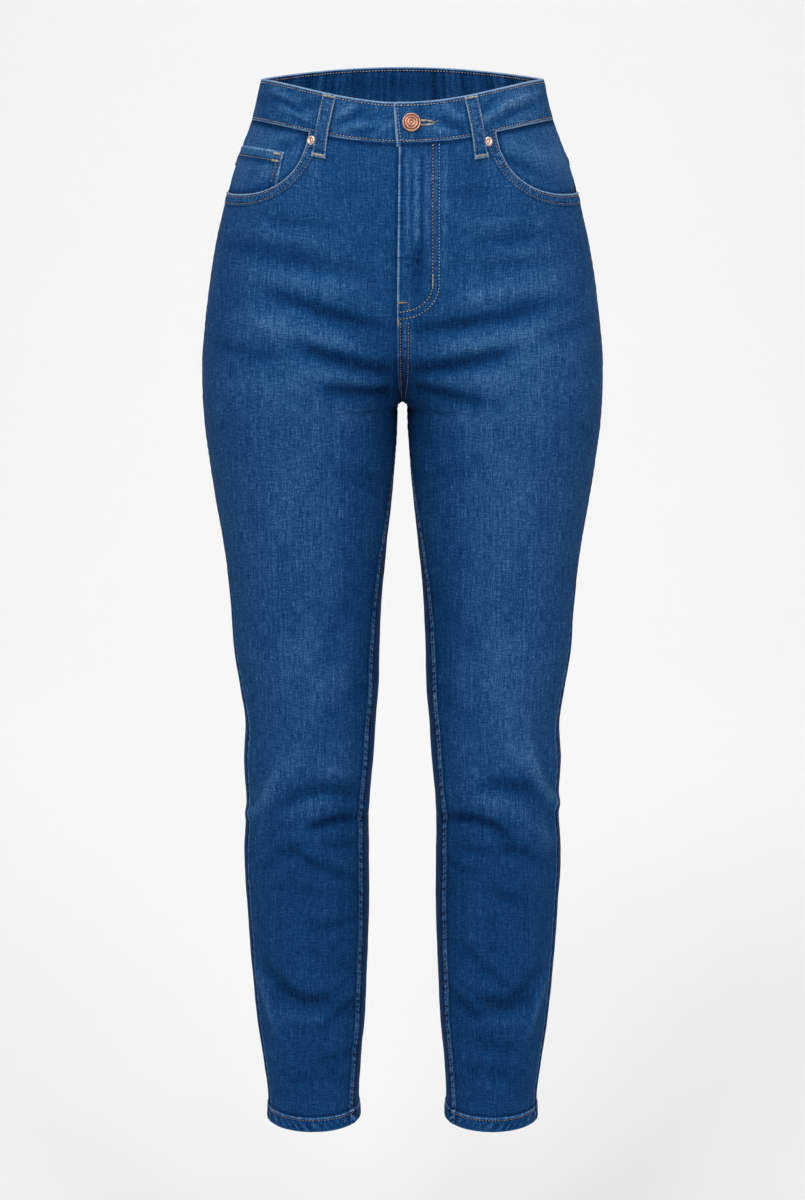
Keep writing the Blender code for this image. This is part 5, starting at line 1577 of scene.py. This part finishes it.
def sewFronts():
    for word, side in (("Left", 1), ("Right", -1)):
        hosts = ["front" + word, "pocketMouth" + word]
        sewn = []
        for row in mouthFold["rows"]:
            run = np.linspace(1 * mm, mouthRun[-1] - 0.6 * mm, 90)
            fromSide, drop = mouthPlace(np.full(90, row), run)
            points, normal, _, _ = clothPoints(float(side), 1 - fromSide / halfLength(drop, False), drop,
                                               0 * drop)
            sewRow(sewn, hosts, points, normal, 2.9 * mm)
        drops = np.linspace(form["rise"] + 10 * mm, 964 * mm, 240)
        sewRow(sewn, hosts, *frontLine(side, seams["inseamStrip"] - 1.6 * mm, drops), 3.0 * mm, 0.5 * mm)
        threadPiece("frontThread" + word, sewn, threadBrown)
        # hems, all round
        sewn = []
        level = np.full(40, seams["hemRow"])
        across = np.linspace(0.3 * mm, float(halfLength(0.968, False)) - 0.3 * mm, 40)
        sewRow(sewn, ["front" + word], *frontLine(side, across, level), 3.0 * mm)
        across = np.linspace(0.3 * mm, float(halfLength(0.968, True)) - 0.3 * mm, 40)
        sewRow(sewn, ["back" + word], *backLine(side, across, level), 3.0 * mm)
        threadPiece("hemThread" + word, sewn, threadBrown)
    sewn = []
    hosts = ["frontLeft", "frontRight"]
    for which in (0, 1):
        depth = fly["curveEnd"][which] - fly["curveStart"]
        straight = np.linspace(37.5 * mm, fly["curveStart"], 60)
        turn = np.linspace(0, math.pi / 2, 30)[1:]
        reach = fly["stitchAcross"][which] - fly["curveMiddle"]
        bend = fly["curveMiddle"] + reach * np.cos(turn)
        across = np.concatenate([np.full(60, fly["stitchAcross"][which]), bend])
        drop = np.concatenate([straight, fly["curveStart"] + depth * np.sin(turn)])
        sewRow(sewn, hosts, *frontLine(1, across, drop), 2.9 * mm)
    # four thick stitches at the bend of the inner row
    drops = np.linspace(158 * mm, 170 * mm, 9)
    sewRow(sewn, hosts, *frontLine(1, np.full(9, fly["stitchAcross"][0]), drops), 3.0 * mm, 1.3 * mm,
           1.0 * mm)
    threadPiece("flyThread", sewn, threadTan)
    sewn = []
    for across in fly["tailRows"]:
        drops = np.linspace(203 * mm, 278 * mm, 40)
        sewRow(sewn, hosts, *frontLine(1, np.full(40, across), drops), 2.9 * mm)
    threadPiece("crotchThread", sewn, threadBrown)
    sewn = []
    drops = np.linspace(185 * mm, 192.6 * mm, 9)
    sewRow(sewn, hosts, *frontLine(1, np.full(9, 5.4 * mm), drops), 2.5 * mm)
    for a, b in (((-3.6, 184.5), (4.2, 184.5)), ((-3.4, 199.5), (-3.4, 206.0))):
        start, normal = (Vector(v) for v in frontLine(1, a[0] * mm, a[1] * mm))
        end = Vector(frontLine(1, b[0] * mm, b[1] * mm)[0])
        barTack(sewn, hosts, start, end, normal, 1.5 * mm)
    for word, side in (("Left", 1), ("Right", -1)):
        edge = halfLength(98.5 * mm, False)
        start, normal = (Vector(v) for v in frontLine(side, edge - 1.0 * mm, 100.5 * mm))
        end = Vector(frontLine(side, edge - 7.0 * mm, 101.0 * mm)[0])
        barTack(sewn, ["front" + word, "pocketMouth" + word], start, end, normal, 1.5 * mm)
    threadPiece("barTacks", sewn, threadOrange)


def sewCoinPocket():
    sewn = []
    hosts = ["coinPocket", "hipFacingRight"]
    across = np.linspace(0.03, 0.97, 40)

    def line(acrossShare, fromTop):
        acrossShare, fromTop = np.broadcast_arrays(np.asarray(acrossShare, float), np.asarray(fromTop, float))
        _, _, drop, *_ = coinPlace(acrossShare, np.zeros(acrossShare.shape), 0 * acrossShare)
        drop = drop + fromTop
        start = coinInner(drop)
        around = start + (1 - start) * acrossShare
        return clothPoints(-1.0, around, drop, 0 * drop)[:2]

    sewRow(sewn, hosts, *line(across, coin["hem"] - 1.2 * mm), 2.9 * mm)
    for share in (0.02, 0.07):
        sewRow(sewn, hosts, *line(np.full(20, share), np.linspace(1.5 * mm, 27 * mm, 20)), 2.9 * mm)
    threadPiece("coinThread", sewn, threadBrown)
    sewn = []
    for share in (0.04, 0.92):
        for fromTop in (2.4, 8.6):
            p, n = line(np.array([share, share + 0.08]), np.array([fromTop, fromTop]) * mm)
            barTack(sewn, hosts, Vector(p[0]), Vector(p[1]), Vector(n[0]), 2.2 * mm)
    threadPiece("coinTacks", sewn, threadTan)


def sewBand():
    sewn = []
    for row in band["rows"]:
        along = np.linspace(-band["reach"] + band["endRow"], bandLength + 24 * mm, 700)
        droop = band["droop"] * bell(along + band["reach"], band["droopWidth"]) * row / band["height"]
        (points, normal, _, _), _ = bandPlace(along, np.full(700, row) + droop, np.full(700, -band["over"]))
        sewRow(sewn, ["waistBand"], points, normal, 2.9 * mm)
        # the same rows seen inside the band
        inner = points - normal * band["thick"]
        sewRow(sewn, ["waistBand"], inner, -normal, 2.9 * mm)
    drop = np.linspace(4.5 * mm, 35 * mm, 24)
    lean = band["leanOut"] * (1 - drop / band["height"]) + band["leanIn"] * drop / band["height"]
    along = -band["reach"] + band["endRow"] + lean
    (points, normal, _, _), _ = bandPlace(along, drop, np.full(24, -band["over"]))
    sewRow(sewn, ["waistBand"], points, normal, 2.9 * mm)
    threadPiece("bandThread", sewn, threadTan)
    # keyhole buttonhole, worked in thread round its slit
    sewn = []
    spot, normal = frontSpot(metal["buttonX"], metal["buttonDrop"], band["over"])
    level = (Vector((1, 0, 0)) - normal * normal.x).normalized()
    rising = level.cross(normal) * -1
    outline = []
    for x in np.linspace(6.5, 17.5, 21):
        outline.append((x, 1.9 - 0.55 * smooth((x - 12) / 6)))
    for a in np.linspace(math.pi / 2, -math.pi / 2, 7):
        outline.append((17.5 + 2.0 * math.cos(a), 1.35 * math.sin(a)))
    for x in np.linspace(17.5, 6.5, 21):
        outline.append((x, -1.9 + 0.55 * smooth((x - 12) / 6)))
    for (x0, z0), (x1, z1) in zip(outline, outline[1:]):
        x, z = (x0 + x1) / 2, (z0 + z1) / 2
        along = Vector((x1 - x0, z1 - z0)).normalized()
        cross = Vector((-along.y, along.x)) * 0.8
        for shift in (-0.14, 0.14):
            cx, cz = x + along.x * shift, z + along.y * shift
            a = spot + level * (cx - cross.x) * mm + rising * (cz - cross.y) * mm
            b = spot + level * (cx + cross.x) * mm + rising * (cz + cross.y) * mm
            a, b = seat(["waistBand"], a, normal), seat(["waistBand"], b, normal)
            if a and b:
                oneStitch(sewn, a + normal * 0.15 * mm, b + normal * 0.15 * mm, normal, 0.42 * mm, 0.7 * mm)
    tail = [(19.5, 0.3), (20.6, 0.9), (21.6, 0.7), (22.6, 1.4), (23.4, 2.2)]
    for (x0, z0), (x1, z1) in zip(tail, tail[1:]):
        a = spot + level * x0 * mm + rising * z0 * mm
        b = spot + level * x1 * mm + rising * z1 * mm
        a, b = seat(["waistBand"], a, normal), seat(["waistBand"], b, normal)
        oneStitch(sewn, a + normal * 0.3 * mm, b + normal * 0.35 * mm, normal, 0.6 * mm, 0.6 * mm)
    threadPiece("buttonholeThread", sewn, threadTan)


def sewLoops():
    sewn, tacks = [], []
    for name, *_ in loops["places"]:
        point = loopPoints[name]
        hosts = [name]
        for shift in (-loops["row"], loops["row"]):
            down = np.linspace(0.07, 0.89, 40)
            (points, normal, _, _), _ = point(np.full(40, shift), down, loopLift(down) + loops["thick"])
            sewRow(sewn, hosts, points, normal, 2.8 * mm, 0.55 * mm)
        for down in (0.035, 0.955):
            (points, normal, _, _), _ = point(np.array([-4.4, 4.4]) * mm, np.array([down, down]),
                                              loopLift(np.array([down, down])) + loops["thick"])
            barTack(tacks, hosts, Vector(points[0]), Vector(points[1]), Vector(normal[0]), 2.0 * mm)
    threadPiece("loopThread", sewn, threadBrown)
    threadPiece("loopTacks", tacks, threadTan)


def sewBacks():
    for word, side in (("Left", 1), ("Right", -1)):
        sewn = []
        for row in yoke["rows"]:
            around = np.linspace(1.004, 1.996, 120)
            drop = yokeSeam(around) + yoke["over"] - row
            points, normal, _, _ = clothPoints(float(side), around, drop, 0 * drop)
            sewRow(sewn, ["yoke" + word], points, normal, 3.0 * mm)
        if side > 0:
            for across in seams["seatRows"]:
                drops = np.linspace(38 * mm, 286 * mm, 140)
                sewRow(sewn, ["yokeLeft", "backLeft"], *backLine(1, np.full(140, across), drops), 3.0 * mm)
        hosts = ["backPocket" + word]
        for row in pocket["rows"]:
            path = []
            for k in np.linspace(0, 1 - row / pocket["side"], 40):
                path.append((row / pocketWidth(k), k))
            for a in np.linspace(path[-1][0], 1 - path[-1][0], 41)[1:-1]:
                path.append((a, 1 - row * 1.08 / pocketHeight(a)))
            for k in np.linspace(1 - row / pocket["side"], 0, 40):
                path.append((1 - row / pocketWidth(k), k))
            path = np.array(path)
            path[:, 1] = np.clip(path[:, 1], 0.008, 1)
            (points, normal, _, _), *_ = pocketPlace(float(side), path[:, 0], path[:, 1],
                                                     np.full(len(path), pocket["lift"]))
            sewRow(sewn, hosts, points, normal, 3.0 * mm)
        across = np.linspace(0.02, 0.98, 60)
        down = (pocket["hem"] - 1.5 * mm) / pocketHeight(across)
        (points, normal, _, _), *_ = pocketPlace(float(side), across, down, np.full(60, pocket["lift"]))
        sewRow(sewn, hosts, points, normal, 3.0 * mm)
        threadPiece("backThread" + word, sewn, threadBrown)
        sewn = []
        for share in (0.008, 0.945):
            (points, normal, _, _), *_ = pocketPlace(float(side), np.array([share, share + 0.05]),
                                                     np.array([0.012, 0.012]), np.full(2, pocket["lift"]))
            barTack(sewn, hosts, Vector(points[0]), Vector(points[1]), Vector(normal[0]), 2.0 * mm)
        threadPiece("pocketTacks" + word, sewn, threadTan)


sewFronts()
sewCoinPocket()
sewBand()
sewLoops()
sewBacks()
print("sewing done")


# stage, light and camera
stage = {"floor": -1.32, "front": -0.9, "wall": 5.0, "bend": 1.6, "top": 3.2, "half": 4.0,
         "color": (0.878, 0.878, 0.878, 1)}


def makeStage():
    bm = bmesh.new()
    r, floor = stage["bend"], stage["floor"]
    line = [(stage["front"], floor), (0.0, floor), (stage["wall"] - r, floor)]
    for a in np.linspace(0, math.pi / 2, 14)[1:]:
        line.append((stage["wall"] - r + r * math.sin(a), floor + r * (1 - math.cos(a))))
    line.append((stage["wall"], stage["top"]))
    verts = [bm.verts.new((-stage["half"], y, z)) for y, z in line]
    edges = [bm.edges.new(pair) for pair in zip(verts, verts[1:])]
    swept = bmesh.ops.extrude_edge_only(bm, edges=edges)
    bmesh.ops.translate(bm, vec=(2 * stage["half"], 0, 0),
                        verts=[g for g in swept["geom"] if isinstance(g, bmesh.types.BMVert)])
    bmesh.ops.recalc_face_normals(bm, faces=bm.faces)
    mesh = bpy.data.meshes.new("studioFloor")
    bm.to_mesh(mesh)
    bm.free()
    material, _, shader = newMaterial("paperSweep")
    shader.inputs["Base Color"].default_value = stage["color"]
    shader.inputs["Roughness"].default_value = 0.9
    shader.inputs["Specular IOR Level"].default_value = 0.1
    made = addObject("studioFloor", mesh, material)


def areaLight(name, place, target, size, power):
    data = bpy.data.lights.new(name, "AREA")
    data.shape = "SQUARE"
    data.size = size
    data.energy = power
    made = bpy.data.objects.new(name, data)
    made.location = place
    made.rotation_euler = (Vector(target) - Vector(place)).to_track_quat("-Z", "Y").to_euler()
    bpy.context.scene.collection.objects.link(made)


lights = {
    "air": 0.25,
    "lamps": [  # name, place, target, size, watts
        ("keyLeft", (-1.1, -2.7, 1.6), (0, 0, -0.35), 1.3, 56),
        ("keyRight", (1.5, -2.8, 1.2), (0, 0, -0.35), 1.3, 38),
        ("overhead", (0, -0.5, 2.3), (0, -0.3, 0), 1.8, 30),
        ("backdropLeft", (-1.8, 2.6, 2.6), (-0.6, 4.2, -1.0), 2.4, 58),
        ("backdropRight", (1.8, 2.6, 2.6), (0.6, 4.2, -1.0), 2.4, 57),
    ],
}


def makeLight():
    for lamp in lights["lamps"]:
        areaLight(*lamp)
    world = bpy.data.worlds.new("studioAir")
    world.use_nodes = True
    world.node_tree.nodes["Background"].inputs["Color"].default_value = (1, 1, 1, 1)
    world.node_tree.nodes["Background"].inputs["Strength"].default_value = lights["air"]
    bpy.context.scene.world = world


view = {"sensor": 36, "lens": 85.648, "place": (0, -2.6, 0.05), "down": 11.385}


def makeCamera():
    data = bpy.data.cameras.new("camera")
    data.sensor_width = view["sensor"]
    data.lens = view["lens"]
    made = bpy.data.objects.new("camera", data)
    made.location = view["place"]
    made.rotation_euler = (math.radians(90 - view["down"]), 0, 0)
    bpy.context.scene.collection.objects.link(made)
    bpy.context.scene.camera = made
    bpy.context.scene.view_settings.view_transform = "Standard"


makeStage()
makeLight()
makeCamera()
print("stage, light and camera set")
